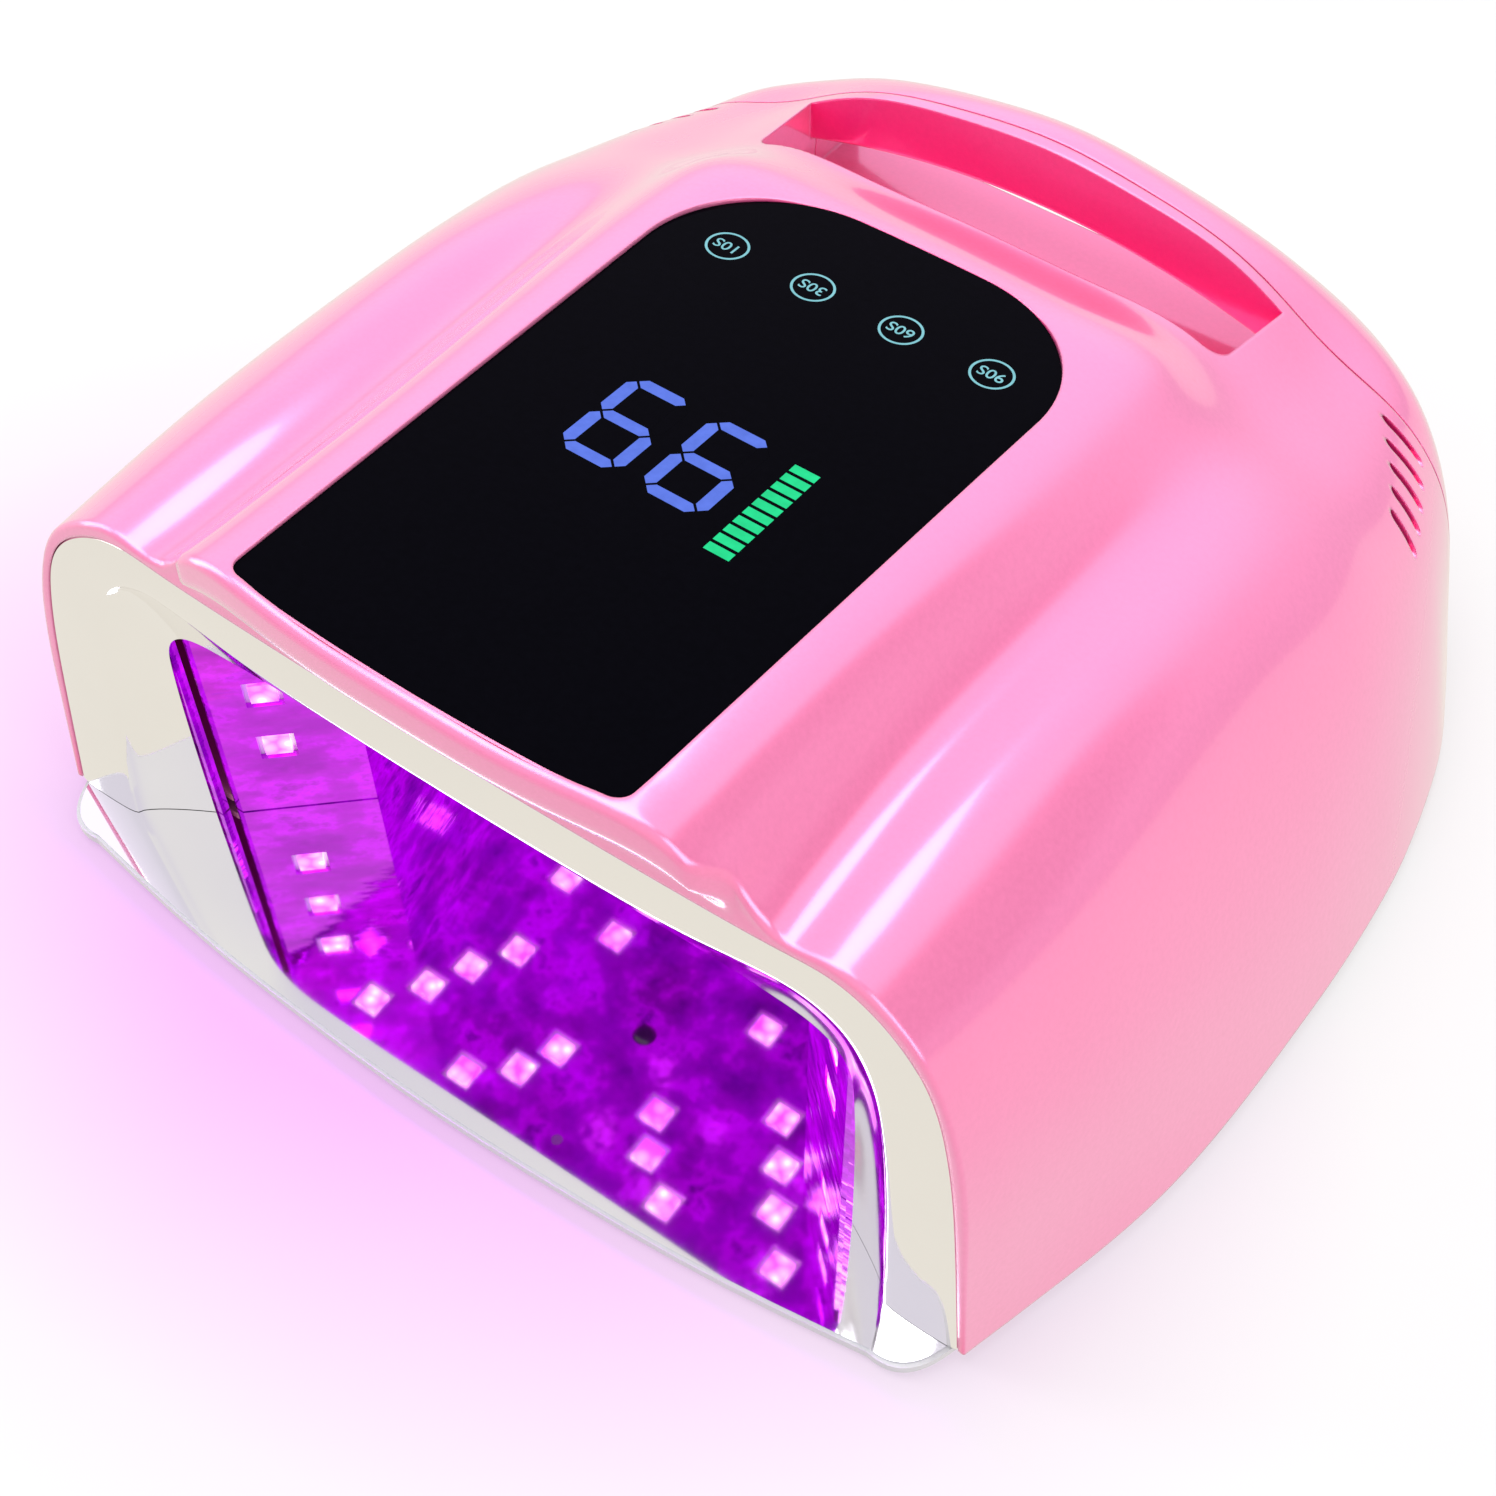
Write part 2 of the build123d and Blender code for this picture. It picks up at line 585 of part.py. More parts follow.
with BuildPart() as bottom_frame:
    with BuildSketch(level(FRAME_LOW)):
        add(plan(footprint(12, 137, WALL + 1.7)))
        with BuildLine():
            outline = [(x + 0.4, y) for x, y in REFLECTOR_PLAN]
            Polyline((78, 5), *outline, (40, 119.6), (-40, 119.6),
                     *[(-x, y) for x, y in reversed(outline)], (-78, 5), close=True)
        make_face(mode=Mode.SUBTRACT)
        with Locations(*flanks(FRAME_BOSSES)):
            Circle(1.7, mode=Mode.SUBTRACT)
    extrude(amount=FRAME_THICK)
bottom_frame.part.label = "bottom_frame"
export_step(bottom_frame.part, "parts/bottom_frame.step")

COVER_THICK = BASE_THICK + MIRROR_THICK + 0.1
FOOT_SINK = 0.6
BASE_FEET = [(84, 8), (96, 118)]             # (x, depth), one side
COVER_FEET = [(72, 182)]
MAGNETS = [(97, 20), (107, 70)]
MAGNET_SINK = 1.6

with BuildPart() as bottom_cover:
    with BuildSketch(level(-COVER_THICK)):
        add(plan(footprint(BASE_SPLIT + 0.4, REAR_FACE - 1.5, SHADOW)))
    extrude(amount=COVER_THICK)
    with BuildSketch(level(-COVER_THICK - 1)):
        with Locations(*flanks(COVER_BOSSES)):
            Circle(1.7)
    extrude(amount=COVER_THICK + 2, mode=Mode.SUBTRACT)
    with BuildSketch(level(-COVER_THICK)):
        with Locations(*flanks(COVER_BOSSES)):
            Circle(3.1)
    extrude(amount=1.3, mode=Mode.SUBTRACT)
    with BuildSketch(level(-COVER_THICK)):
        with Locations(*flanks(COVER_FEET)):
            Circle(FOOT_RADIUS + 0.1)
    extrude(amount=FOOT_SINK, mode=Mode.SUBTRACT)
bottom_cover.part.label = "bottom_cover"
export_step(bottom_cover.part, "parts/bottom_cover.step")


def base_plan(stand_in):
    """Plan of the removable base: bowed front lip, rounded corners, shell-shaped flanks."""
    flank = footprint(14, BASE_SPLIT, SHADOW + stand_in)
    front = [(x, depth + stand_in) for x, depth in LIP_PLAN]
    corner = [(x - stand_in, depth + stand_in) for x, depth in LIP_CORNER]
    right = front + corner + flank
    with BuildSketch(mode=Mode.PRIVATE) as face:
        with BuildLine():
            Spline(*[(-x, y) for x, y in reversed(front[1:])], *front)
            for sign in (1, -1):
                turn = [(x * sign, y) for x, y in [front[-1]] + corner + [flank[0]]]
                Spline(*turn)
                Polyline(*[(x * sign, y) for x, y in flank])
            Line(flank[-1], (-flank[-1][0], flank[-1][1]))
        make_face()
    return face.sketch


with BuildPart() as base_plate:
    with BuildSketch(level(-COVER_THICK)):
        add(base_plan(0.0))
    extrude(amount=BASE_THICK)
    with BuildSketch(level(-COVER_THICK)):
        with Locations(*flanks(BASE_FEET)):
            Circle(FOOT_RADIUS + 0.1)
    extrude(amount=FOOT_SINK, mode=Mode.SUBTRACT)
    with BuildSketch(level(-COVER_THICK + BASE_THICK - MAGNET_SINK)):
        with Locations(*flanks(MAGNETS)):
            Circle(MAGNET_RADIUS + 0.1)
    extrude(amount=MAGNET_SINK + 1, mode=Mode.SUBTRACT)
base_plate.part.label = "base_plate"
export_step(base_plate.part, "parts/base_plate.step")

with BuildPart() as mirror_sheet:
    with BuildSketch(level(-COVER_THICK + BASE_THICK)):
        add(base_plan(0.6))
    extrude(amount=MIRROR_THICK)
mirror_sheet.part.label = "mirror_sheet"
export_step(mirror_sheet.part, "parts/mirror_sheet.step")

with BuildPart() as base_magnets:
    with BuildSketch(level(-COVER_THICK + BASE_THICK - MAGNET_SINK + 0.05)):
        with Locations(*flanks(MAGNETS)):
            Circle(MAGNET_RADIUS)
    extrude(amount=MAGNET_SINK - 0.1)
base_magnets.part.label = "base_magnets"
export_step(base_magnets.part, "parts/base_magnets.step")

with BuildPart() as frame_magnets:
    with BuildSketch(level(FRAME_LOW + FRAME_THICK + 0.05)):
        with Locations(*flanks(MAGNETS)):
            Circle(MAGNET_RADIUS)
    extrude(amount=MAGNET_THICK)
frame_magnets.part.label = "frame_magnets"
export_step(frame_magnets.part, "parts/frame_magnets.step")


def rubber_feet(places):
    """Round rubber pads let into the underside, standing proud of it."""
    with BuildPart() as feet:
        with BuildSketch(level(-COVER_THICK - FOOT_PROUD + 0.1)):
            with Locations(*flanks(places)):
                Circle(FOOT_RADIUS)
        extrude(amount=FOOT_PROUD + FOOT_SINK - 0.15)
        chamfer(feet.faces().group_by(Axis.Z)[0].edges(), length=0.5)
    return feet


base_feet = rubber_feet(BASE_FEET)
base_feet.part.label = "base_feet"
export_step(base_feet.part, "parts/base_feet.step")

rear_feet = rubber_feet(COVER_FEET)
rear_feet.part.label = "rear_feet"
export_step(rear_feet.part, "parts/rear_feet.step")


def screws(places, seat, length, up=True):
    """Pan head screws seated at a height, driven upwards or downwards."""
    way = 1 if up else -1
    with BuildPart() as group:
        with BuildSketch(level(seat)):
            with Locations(*places):
                Circle(2.8)
        extrude(amount=-1.2 * way)
        with BuildSketch(level(seat)):
            with Locations(*places):
                Circle(PILOT_RADIUS - 0.05)
        extrude(amount=length * way)
        with BuildSketch(level(seat - 1.2 * way)):
            with Locations(*places):
                Rectangle(3.2, 0.7)
                Rectangle(0.7, 3.2)
        extrude(amount=0.7 * way, mode=Mode.SUBTRACT)
    return group


frame_screws = screws(flanks(FRAME_BOSSES), FRAME_LOW - 0.02, 10)
frame_screws.part.label = "frame_screws"
export_step(frame_screws.part, "parts/frame_screws.step")

cover_screws = screws(flanks(COVER_BOSSES), -COVER_THICK + 1.27, 11)
cover_screws.part.label = "cover_screws"
export_step(cover_screws.part, "parts/cover_screws.step")

led_board_top = CEILING + REFLECTOR_WALL + 0.1 + BOARD
led_board_screws = screws(LED_BOARD_SCREWS, led_board_top + 0.02, 3.0, up=False)
led_board_screws.part.label = "led_board_screws"
export_step(led_board_screws.part, "parts/led_board_screws.step")

# ---------------------------------------------------------------- display electronics
CONTROL_SINK = 6.7          # underside of the control board below the lens's top face

with BuildPart() as control_board:
    with BuildSketch(panel(CONTROL_SINK)):
        with Locations((0, 70)):
            RectangleRounded(72, 118, 6)
    extrude(amount=BOARD)
control_board.part.label = "control_board"
export_step(control_board.part, "parts/control_board.step")

with BuildPart() as display_module:
    with BuildSketch(panel(CONTROL_SINK - BOARD - 0.05)):
        with Locations((1, 64)):
            RectangleRounded(46, 34, 1)
    extrude(amount=2.9)
display_module.part.label = "display_module"
export_step(display_module.part, "parts/display_module.step")

with BuildPart() as touch_springs:
    with BuildSketch(panel(CONTROL_SINK - BOARD - 0.05)):
        with Locations((0, KEY_ROW)):
            with GridLocations(KEY_PITCH, 1, 4, 1):
                Circle(3.0)
                Circle(2.5, mode=Mode.SUBTRACT)
    extrude(amount=2.9)
touch_springs.part.label = "touch_springs"
export_step(touch_springs.part, "parts/touch_springs.step")

# ---------------------------------------------------------------- main board
MAIN_LOW = 70.0
MAIN_CENTRE = 87.0
STANDOFFS = [(34, 66), (34, 94)]

with BuildPart() as main_board:
    with BuildSketch(level(MAIN_LOW)):
        with Locations((0, MAIN_CENTRE)):
            RectangleRounded(76, 50, 2)
    extrude(amount=BOARD)
main_board.part.label = "main_board"
export_step(main_board.part, "parts/main_board.step")

with BuildPart() as board_standoffs:
    with BuildSketch(level(led_board_top + 0.02)):
        with Locations(*flanks(STANDOFFS)):
            RegularPolygon(2.5, 6)
    extrude(amount=MAIN_LOW - led_board_top - 0.04)
board_standoffs.part.label = "board_standoffs"
export_step(board_standoffs.part, "parts/board_standoffs.step")

with BuildPart() as board_components:
    with BuildSketch(level(MAIN_LOW + BOARD + 0.02)):
        with Locations((-20, 80), (-20, 94)):
            Circle(4)
        with Locations((20, 78)):
            Rectangle(12, 12)
        with Locations((4, 98)):
            Rectangle(9, 9)
    extrude(amount=7)
    with BuildSketch(level(MAIN_LOW + BOARD + 0.02)):
        with Locations((2, 80)):
            Rectangle(7, 7)
        with Locations((22, 98)):
            Rectangle(10, 6)
        with Locations((-30, 106), (30, 106)):
            Rectangle(8, 5)
    extrude(amount=3)
board_components.part.label = "board_components"
export_step(board_components.part, "parts/board_components.step")

# ---------------------------------------------------------------- battery
CELL_ROWS = (150.5, 171.0)
CELL_HEIGHT = 11.7
CELL_INNER = 1.2            # gap between the inner cell ends and the middle


def cell_cylinders(radius, slack=0.0):
    """Two pairs of cylindrical cells lying end to end across the lamp."""
    with BuildPart(mode=Mode.PRIVATE) as cells:
        for flank in (1, -1):
            with BuildSketch(side((CELL_INNER - slack) * flank)):
                with Locations(*[(depth, CELL_HEIGHT) for depth in CELL_ROWS]):
                    Circle(radius)
            extrude(amount=(CELL_LENGTH + 2 * slack) * flank)
    return cells


battery_cells = cell_cylinders(CELL_RADIUS)
battery_cells.part.label = "battery_cells"
export_step(battery_cells.part, "parts/battery_cells.step")

with BuildPart() as battery_tray:
    with BuildSketch(level(0.1)):
        with Locations((0, sum(CELL_ROWS) / 2)):
            RectangleRounded(136, 42.5, 2)
    extrude(amount=9)
    add(cell_cylinders(CELL_RADIUS + 0.1, 0.3).part, mode=Mode.SUBTRACT)
battery_tray.part.label = "battery_tray"
export_step(battery_tray.part, "parts/battery_tray.step")

with BuildPart() as battery_board:
    with BuildSketch(level(CELL_HEIGHT + CELL_RADIUS + 0.1)):
        with Locations((0, sum(CELL_ROWS) / 2)):
            Rectangle(60, 12)
    extrude(amount=1.2)
battery_board.part.label = "battery_board"
export_step(battery_board.part, "parts/battery_board.step")

# ---------------------------------------------------------------- socket and switch
JACK_RADIUS = 4.0
JACK_LENGTH = 12.0
JACK_BORE = 2.75

with BuildPart() as dc_jack:
    with BuildSketch(across(REAR_FACE + 0.6 - JACK_LENGTH)):
        with Locations((-JACK_PLACE[0], JACK_PLACE[1])):
            Circle(JACK_RADIUS)
    extrude(amount=JACK_LENGTH)
    with BuildSketch(across(REAR_FACE + 0.6 - 9)):
        with Locations((-JACK_PLACE[0], JACK_PLACE[1])):
            Circle(JACK_BORE)
            Circle(1.0, mode=Mode.SUBTRACT)
    extrude(amount=10, mode=Mode.SUBTRACT)
    # Nut flange inside the wall.
    with BuildSketch(across(REAR_FACE - WALL - 2.6)):
        with Locations((-JACK_PLACE[0], JACK_PLACE[1])):
            RegularPolygon(6, 6)
            Circle(JACK_RADIUS - 0.5, mode=Mode.SUBTRACT)
    extrude(amount=2.2)
dc_jack.part.label = "dc_jack"
export_step(dc_jack.part, "parts/dc_jack.step")

PIVOT = REAR_FACE - 1.6     # depth of the rocker's pin
PIN_RADIUS = 0.8
ROCKER_TILT = 9.0

with BuildPart() as switch_housing:
    with BuildSketch(across(REAR_FACE - 11)):
        with Locations((-SWITCH_PLACE[0], SWITCH_PLACE[1])):
            Rectangle(SWITCH_HOLE[0] - 0.2, SWITCH_HOLE[1] - 0.2)
    extrude(amount=11.1)
    with BuildSketch(across(REAR_FACE + 0.05)):
        with Locations((-SWITCH_PLACE[0], SWITCH_PLACE[1])):
            RectangleRounded(SWITCH_HOLE[0] + 2.6, SWITCH_HOLE[1] + 2.6, 1)
    extrude(amount=1.4)
    with BuildSketch(across(PIVOT - 4)):
        with Locations((-SWITCH_PLACE[0], SWITCH_PLACE[1])):
            Rectangle(6.8, 12.2)
    extrude(amount=12, mode=Mode.SUBTRACT)
    with BuildSketch(side(SWITCH_PLACE[0] - 6)):
        with Locations((PIVOT, SWITCH_PLACE[1])):
            Circle(PIN_RADIUS + 0.02)
    extrude(amount=12, mode=Mode.SUBTRACT)
switch_housing.part.label = "switch_housing"
export_step(switch_housing.part, "parts/switch_housing.step")

with BuildPart() as switch_rocker:
    with BuildSketch(side(SWITCH_PLACE[0] - 3.2)) as profile:
        with Locations(Location((PIVOT, SWITCH_PLACE[1]), ROCKER_TILT)):
            Polygon((-2.6, -1.6), (0.4, -4.9), (3.5, -5.2), (2.3, 0), (3.5, 5.2), (0.4, 4.9),
                    (-2.6, 1.6), align=None)
    extrude(amount=6.4)
    with BuildSketch(side(SWITCH_PLACE[0] - 4)):
        with Locations((PIVOT, SWITCH_PLACE[1])):
            Circle(PIN_RADIUS + 0.05)
    extrude(amount=8, mode=Mode.SUBTRACT)
switch_rocker.part.label = "switch_rocker"
export_step(switch_rocker.part, "parts/switch_rocker.step")

with BuildPart() as switch_pin:
    with BuildSketch(side(SWITCH_PLACE[0] - 4.4)):
        with Locations((PIVOT, SWITCH_PLACE[1])):
            Circle(PIN_RADIUS)
    extrude(amount=8.8)
switch_pin.part.label = "switch_pin"
export_step(switch_pin.part, "parts/switch_pin.step")

# ---------------------------------------------------------------- wiring


def lead(points, radius):
    """Round cable through points given as (x, depth, height)."""
    places = [(x, FRONT + depth, SEAM + height) for x, depth, height in points]
    with BuildPart() as cable:
        with BuildLine() as path:
            Spline(*places)
        with BuildSketch(Plane(path.line @ 0, z_dir=path.line % 0)):
            Circle(radius)
        sweep()
    return cable


board_top = MAIN_LOW + BOARD

battery_lead = lead([(-20, 156, 23.6), (-22, 138, 36), (-25, 125, 62), (-30, 113, 73)], 1.2)
battery_lead.part.label = "battery_lead"
export_step(battery_lead.part, "parts/battery_lead.step")

jack_lead = lead([(24, 188.8, 17), (30, 184.5, 27), (33, 160, 27), (32, 130, 58), (30, 113, 73)], 1.2)
jack_lead.part.label = "jack_lead"
export_step(jack_lead.part, "parts/jack_lead.step")

switch_lead = lead([(-24, 189.4, 17), (-25, 184, 24), (-24, 167.5, 25)], 1.0)
switch_lead.part.label = "switch_lead"
export_step(switch_lead.part, "parts/switch_lead.step")

led_lead = lead([(43, 84, led_board_top + 1.2), (45, 90, 71), (39.5, 96, 73)], 1.0)
led_lead.part.label = "led_lead"
export_step(led_lead.part, "parts/led_lead.step")

with BuildPart() as display_ribbon:
    with BuildSketch(level(board_top + 0.05)):
        with Locations((0, 109.5)):
            Rectangle(16, 0.5)
    extrude(amount=11.0)
display_ribbon.part.label = "display_ribbon"
export_step(display_ribbon.part, "parts/display_ribbon.step")
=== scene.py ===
from math import cos, pi, radians, sin

import bmesh
import bpy
import numpy as np
from mathutils import Matrix, Vector


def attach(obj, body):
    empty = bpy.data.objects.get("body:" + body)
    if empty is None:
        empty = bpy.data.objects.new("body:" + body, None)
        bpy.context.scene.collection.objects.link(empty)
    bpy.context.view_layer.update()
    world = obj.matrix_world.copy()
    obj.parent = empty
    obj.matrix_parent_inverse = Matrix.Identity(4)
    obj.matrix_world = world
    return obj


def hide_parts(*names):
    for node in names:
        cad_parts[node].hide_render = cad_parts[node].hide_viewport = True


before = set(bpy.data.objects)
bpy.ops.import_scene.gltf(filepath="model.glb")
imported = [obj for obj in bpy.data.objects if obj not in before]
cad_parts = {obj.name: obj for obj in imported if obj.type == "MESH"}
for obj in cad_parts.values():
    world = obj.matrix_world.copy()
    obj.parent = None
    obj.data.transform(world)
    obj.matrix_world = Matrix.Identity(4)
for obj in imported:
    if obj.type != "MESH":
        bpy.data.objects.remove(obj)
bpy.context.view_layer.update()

# ------------------------------------------------------------------ dimensions, millimetres
# Depths run back from the trim's foot, heights up from the seam above the base.
FRONT = -94.0
SEAM = 4.0
REAR_JOINT = 184.0
REAR_FACE = 201.5
JOINT_GAP = 0.35
PANEL_FRONT = 105.7
PANEL_TILT = 8.0
WALL = 2.4
LEAN = 0.05                # the trim leans back by this share of its height
BROW = 3.6                 # how far the brow over the mouth stands proud in the middle
BROW_HALF = 50.0
BROW_FOOT = 95             # height at which the front edge starts to turn into the brow
BROW_RISE = 7              # and the height over which it does so
EDGE_REACH = 22            # depth over which the lean and the brow fade into the shell
ROLL_REACH = 9             # the same for the rolled edge
COVE_START = 0.22          # the cove down to the trim, as shares of the front band
COVE_SPAN = 0.62
ROW_STEP = 1.5             # spacing of the shell mesh along its depth
SPAN_STEPS = 7             # mesh columns between two given points of an outline
SHELL_SPANS = 22           # spans between the given points of a whole shell outline
TRIM_SPANS = 18            # the same for the trim's outlines
ROLL = 1.7                 # radius of the shell's rolled front edge
CAVITY_FRONT = 7.6         # depth at which the inside of the shell starts
CAVITY_TAPER = 170         # behind this depth the wall is thicker, where the form closes in
CAVITY_THICKER = 1.15
RECESS_FRONT = 157.5       # front edge of the handle recess
RECESS_HALF = 51.0
RECESS_FLARE = 4.0         # the recess widens by this much towards the back
RECESS_CORNER = 3.5        # radius of its upright corners
FLOOR_REAR = 45.0          # height of the recess floor where it leaves at the back
BAR_FRONT = 181.3          # depth of the handle bar's front wall
BAR_UNDER_MID = 64.9       # underside of the bar at the middle and near its ends
BAR_UNDER_END = 56.5
LENS_FRONT_HALF = 37.3
LENS_REAR_HALF = 41.1
LENS_LENGTH = 136.8
LENS_FRONT_BOW = 1.7
LENS_REAR_BOW = 1.8
LENS_FRONT_CORNER = 3.0
LENS_REAR_CORNER = 28.0
KEY_PITCH = 18.4
KEY_ROW = 116.4            # distance of the key row from the lens's front edge
LABEL_SIZE = 3.6
MOUTH_DEPTH = 9.0          # the trim's flare ends here
VENT_COUNT = 5
VENT_FIRST = 159.0
VENT_PITCH = 5.2
VENT_HALF = 0.95           # half the width of a cooling slot
VENT_TOP = 54.8
VENT_LOW = 46.6

SHELL_SECTIONS = {
    0: [(0, 106.1), (26, 105.9), (43, 105.3), (52.2, 96.8), (61.5, 87.4), (70.5, 88.6),
        (79.6, 85.2), (86.8, 78.6), (91.8, 69.3), (96.6, 53.3), (100.2, 25.3), (102.8, 0)],
    45: [(0, 99.6), (26, 99.5), (44.5, 99), (52.4, 91.9), (60.6, 85.4), (70, 86.7), (79.8, 83.5),
         (89.6, 75.7), (97.8, 63), (105.8, 42.1), (111.6, 17.2), (115.4, 0)],
    95: [(0, 92.6), (26, 92.5), (46.5, 92.1), (54.6, 86), (62.3, 80.4), (71.7, 80.7),
         (82.4, 77.2), (92.6, 67.7), (101.1, 54.1), (110.4, 32.3), (116.4, 12.4), (119.4, 0)],
    125: [(0, 88.4), (26, 88.3), (47, 87.6), (55.6, 81.8), (63.9, 76.8), (73.1, 74.5),
          (83.5, 70.1), (94, 61.4), (102.4, 48.6), (110.3, 29), (115.8, 11.7), (119, 0)],
    139: [(0, 86.5), (26, 86.3), (46.5, 85), (55.6, 78.4), (64.4, 73), (73.7, 69.7), (84, 65.4),
          (94, 57.6), (101.8, 45.8), (109.2, 27.4), (114.2, 11.1), (117.2, 0)],
    150: [(0, 80.8), (26, 80.4), (45.5, 78.6), (55.1, 73.2), (64.4, 68.6), (74, 65.2),
          (84.1, 61.1), (93.6, 53.8), (100.9, 42.9), (107.6, 25.8), (112.3, 10.5), (115.1, 0)],
    160: [(0, 75.8), (25, 75.5), (43, 74.8), (54, 70.3), (63.5, 65.6), (73.3, 62.1),
          (83.2, 58.3), (92.2, 51.4), (99, 41), (105.4, 25.1), (109.8, 10.4), (112.6, 0)],
    172: [(0, 78), (24, 76.6), (42, 73.8), (53.3, 68), (62.5, 62.6), (71.8, 58.6), (80.8, 55.2),
          (89, 49.6), (95.3, 40.4), (100.9, 24.8), (104.8, 10.2), (107.5, 0)],
    186: [(0, 80.3), (20, 77.9), (36.5, 73.9), (49.2, 67.8), (58.6, 61.6), (67.8, 56.8),
          (77, 52.4), (84.8, 46), (91, 37.6), (96, 23.6), (99, 9.9), (101.2, 0)],
    195: [(0, 76.6), (19, 74.6), (35.5, 71.2), (48, 67.4), (58.8, 62), (68.2, 56.8),
          (76.6, 51.2), (82.8, 44), (87, 34.8), (90.4, 21.6), (92.3, 9.1), (93.8, 0)],
    REAR_FACE: [(0, 67.6), (17.5, 66.4), (32, 64), (44.5, 60.8), (55.5, 56.6), (64.8, 51.6),
                (72, 45.6), (76.4, 38.2), (79.4, 29.2), (81.8, 18.4), (83, 7.8), (83.8, 0)],
}
TRIM_OUTER = [(0, 83), (26, 83.4), (48, 84.2), (61.5, 85.2), (71.2, 85.6), (80.2, 81.5),
              (87.4, 73.8), (92.9, 59.3), (97.6, 31.4), (101.4, 0)]
TRIM_INNER = [(0, 72), (26, 72.4), (46, 74), (58, 76.3), (66, 76.6), (73, 73.6), (78, 66.5),
              (81.5, 54), (84.4, 30), (86.4, 0)]
TRIM_MOUTH = [(0, 61.2), (26, 61.4), (46, 61.7), (58, 61.2), (66.6, 59.2), (71, 54.6),
              (72.9, 46), (73.6, 33), (74, 17), (74.2, 0)]


def place(x, depth, height):
    """Point of the lamp in metres from a half-width, a depth and a height."""
    return Vector((x, depth + FRONT, height + SEAM)) / 1000


# ------------------------------------------------------------------ curves and grids
def spline(points, spots):
    """Natural cubic through points, read at spots given in point numbers."""
    points = np.array(points, float)
    gaps = np.linalg.norm(np.diff(points, axis=0), axis=1)
    knots = np.concatenate([[0], np.cumsum(gaps)])
    count = len(points)
    system = np.eye(count)
    right = np.zeros_like(points)
    for i in range(1, count - 1):
        before, after = gaps[i - 1], gaps[i]
        system[i, i - 1:i + 2] = before, 2 * (before + after), after
        right[i] = 6 * ((points[i + 1] - points[i]) / after - (points[i] - points[i - 1]) / before)
    bend = np.linalg.solve(system, right)
    spots = np.clip(np.asarray(spots, float), 0, count - 1)
    low = np.minimum(spots.astype(int), count - 2)
    gap = gaps[low][:, None]
    t = knots[low][:, None] + (spots - low)[:, None] * gap
    a, b = knots[low + 1][:, None] - t, t - knots[low][:, None]
    return (bend[low] * a**3 + bend[low + 1] * b**3) / (6 * gap) \
        + (points[low] / gap - bend[low] * gap / 6) * a \
        + (points[low + 1] / gap - bend[low + 1] * gap / 6) * b


def full(half):
    """Whole outline, left foot to right foot, from a half outline."""
    return [(-x, z) for x, z in reversed(half[1:])] + list(half)


def section(depth):
    """Half outline of the shell at any depth, eased between the given ones."""
    keys = sorted(SHELL_SECTIONS)
    spot = max(i for i, key in enumerate(keys[:-1]) if key <= depth)
    ends = [keys[max(spot - 1, 0)], keys[spot], keys[spot + 1], keys[min(spot + 2, len(keys) - 1)]]
    span = ends[2] - ends[1]
    t = (depth - ends[1]) / span
    before, start, end, after = [np.array(SHELL_SECTIONS[key], float) for key in ends]
    leave = (end - before) / (ends[2] - ends[0]) * span
    arrive = (after - start) / (ends[3] - ends[1]) * span
    return (2 * t**3 - 3 * t**2 + 1) * start + (t**3 - 2 * t**2 + t) * leave \
        + (3 * t**2 - 2 * t**3) * end + (t**3 - t**2) * arrive


def blur(values, sigma, axis):
    """Gaussian smoothing along one axis; the ends stay where they are."""
    reach = int(3 * sigma) + 1
    values = np.moveaxis(values, axis, 0)
    head = 2 * values[0] - values[reach:0:-1]
    tail = 2 * values[-1] - values[-2:-reach - 2:-1]
    padded = np.concatenate([head, values, tail])
    weights = np.exp(-0.5 * (np.arange(-reach, reach + 1) / sigma) ** 2)
    weights /= weights.sum()
    out = sum(w * padded[i:i + len(values)] for i, w in enumerate(weights))
    return np.moveaxis(out, 0, axis)


def shell_grid():
    """Rows of (x, depth, height) over the outer form, front to back."""
    depths = np.linspace(0, REAR_FACE, int(REAR_FACE / ROW_STEP) + 1)
    spots = np.linspace(0, SHELL_SPANS, SHELL_SPANS * SPAN_STEPS + 1)
    rows = []
    for depth in depths:
        flat = spline(full([tuple(p) for p in section(depth)]), spots)
        rows.append(np.column_stack([flat[:, 0], np.full(len(spots), depth), flat[:, 1]]))
    grid = np.array(rows)
    grid[:, :, 0::2] = blur(blur(grid[:, :, 0::2], 3.0, 0), 1.2, 1)
    grid[:, 0, 2] = grid[:, -1, 2] = 0
    return grid


def brow_reach(x):
    """How far the brow stands forward at a half-width."""
    share = np.clip(1 - (np.abs(x) / BROW_HALF) ** 2.2, 0, 1)
    return BROW * share ** 1.2


def nearest_on(curve, points):
    """For each point, the nearest point on a curve, kept in order."""
    gaps = np.linalg.norm(points[:, None, :] - curve[None, :, :], axis=2)
    picks = np.maximum.accumulate(gaps.argmin(axis=1))
    spots = blur(picks.astype(float)[:, None], 4, 0)[:, 0]
    low = np.clip(spots.astype(int), 0, len(curve) - 2)
    share = (spots - low)[:, None]
    return curve[low] * (1 - share) + curve[low + 1] * share


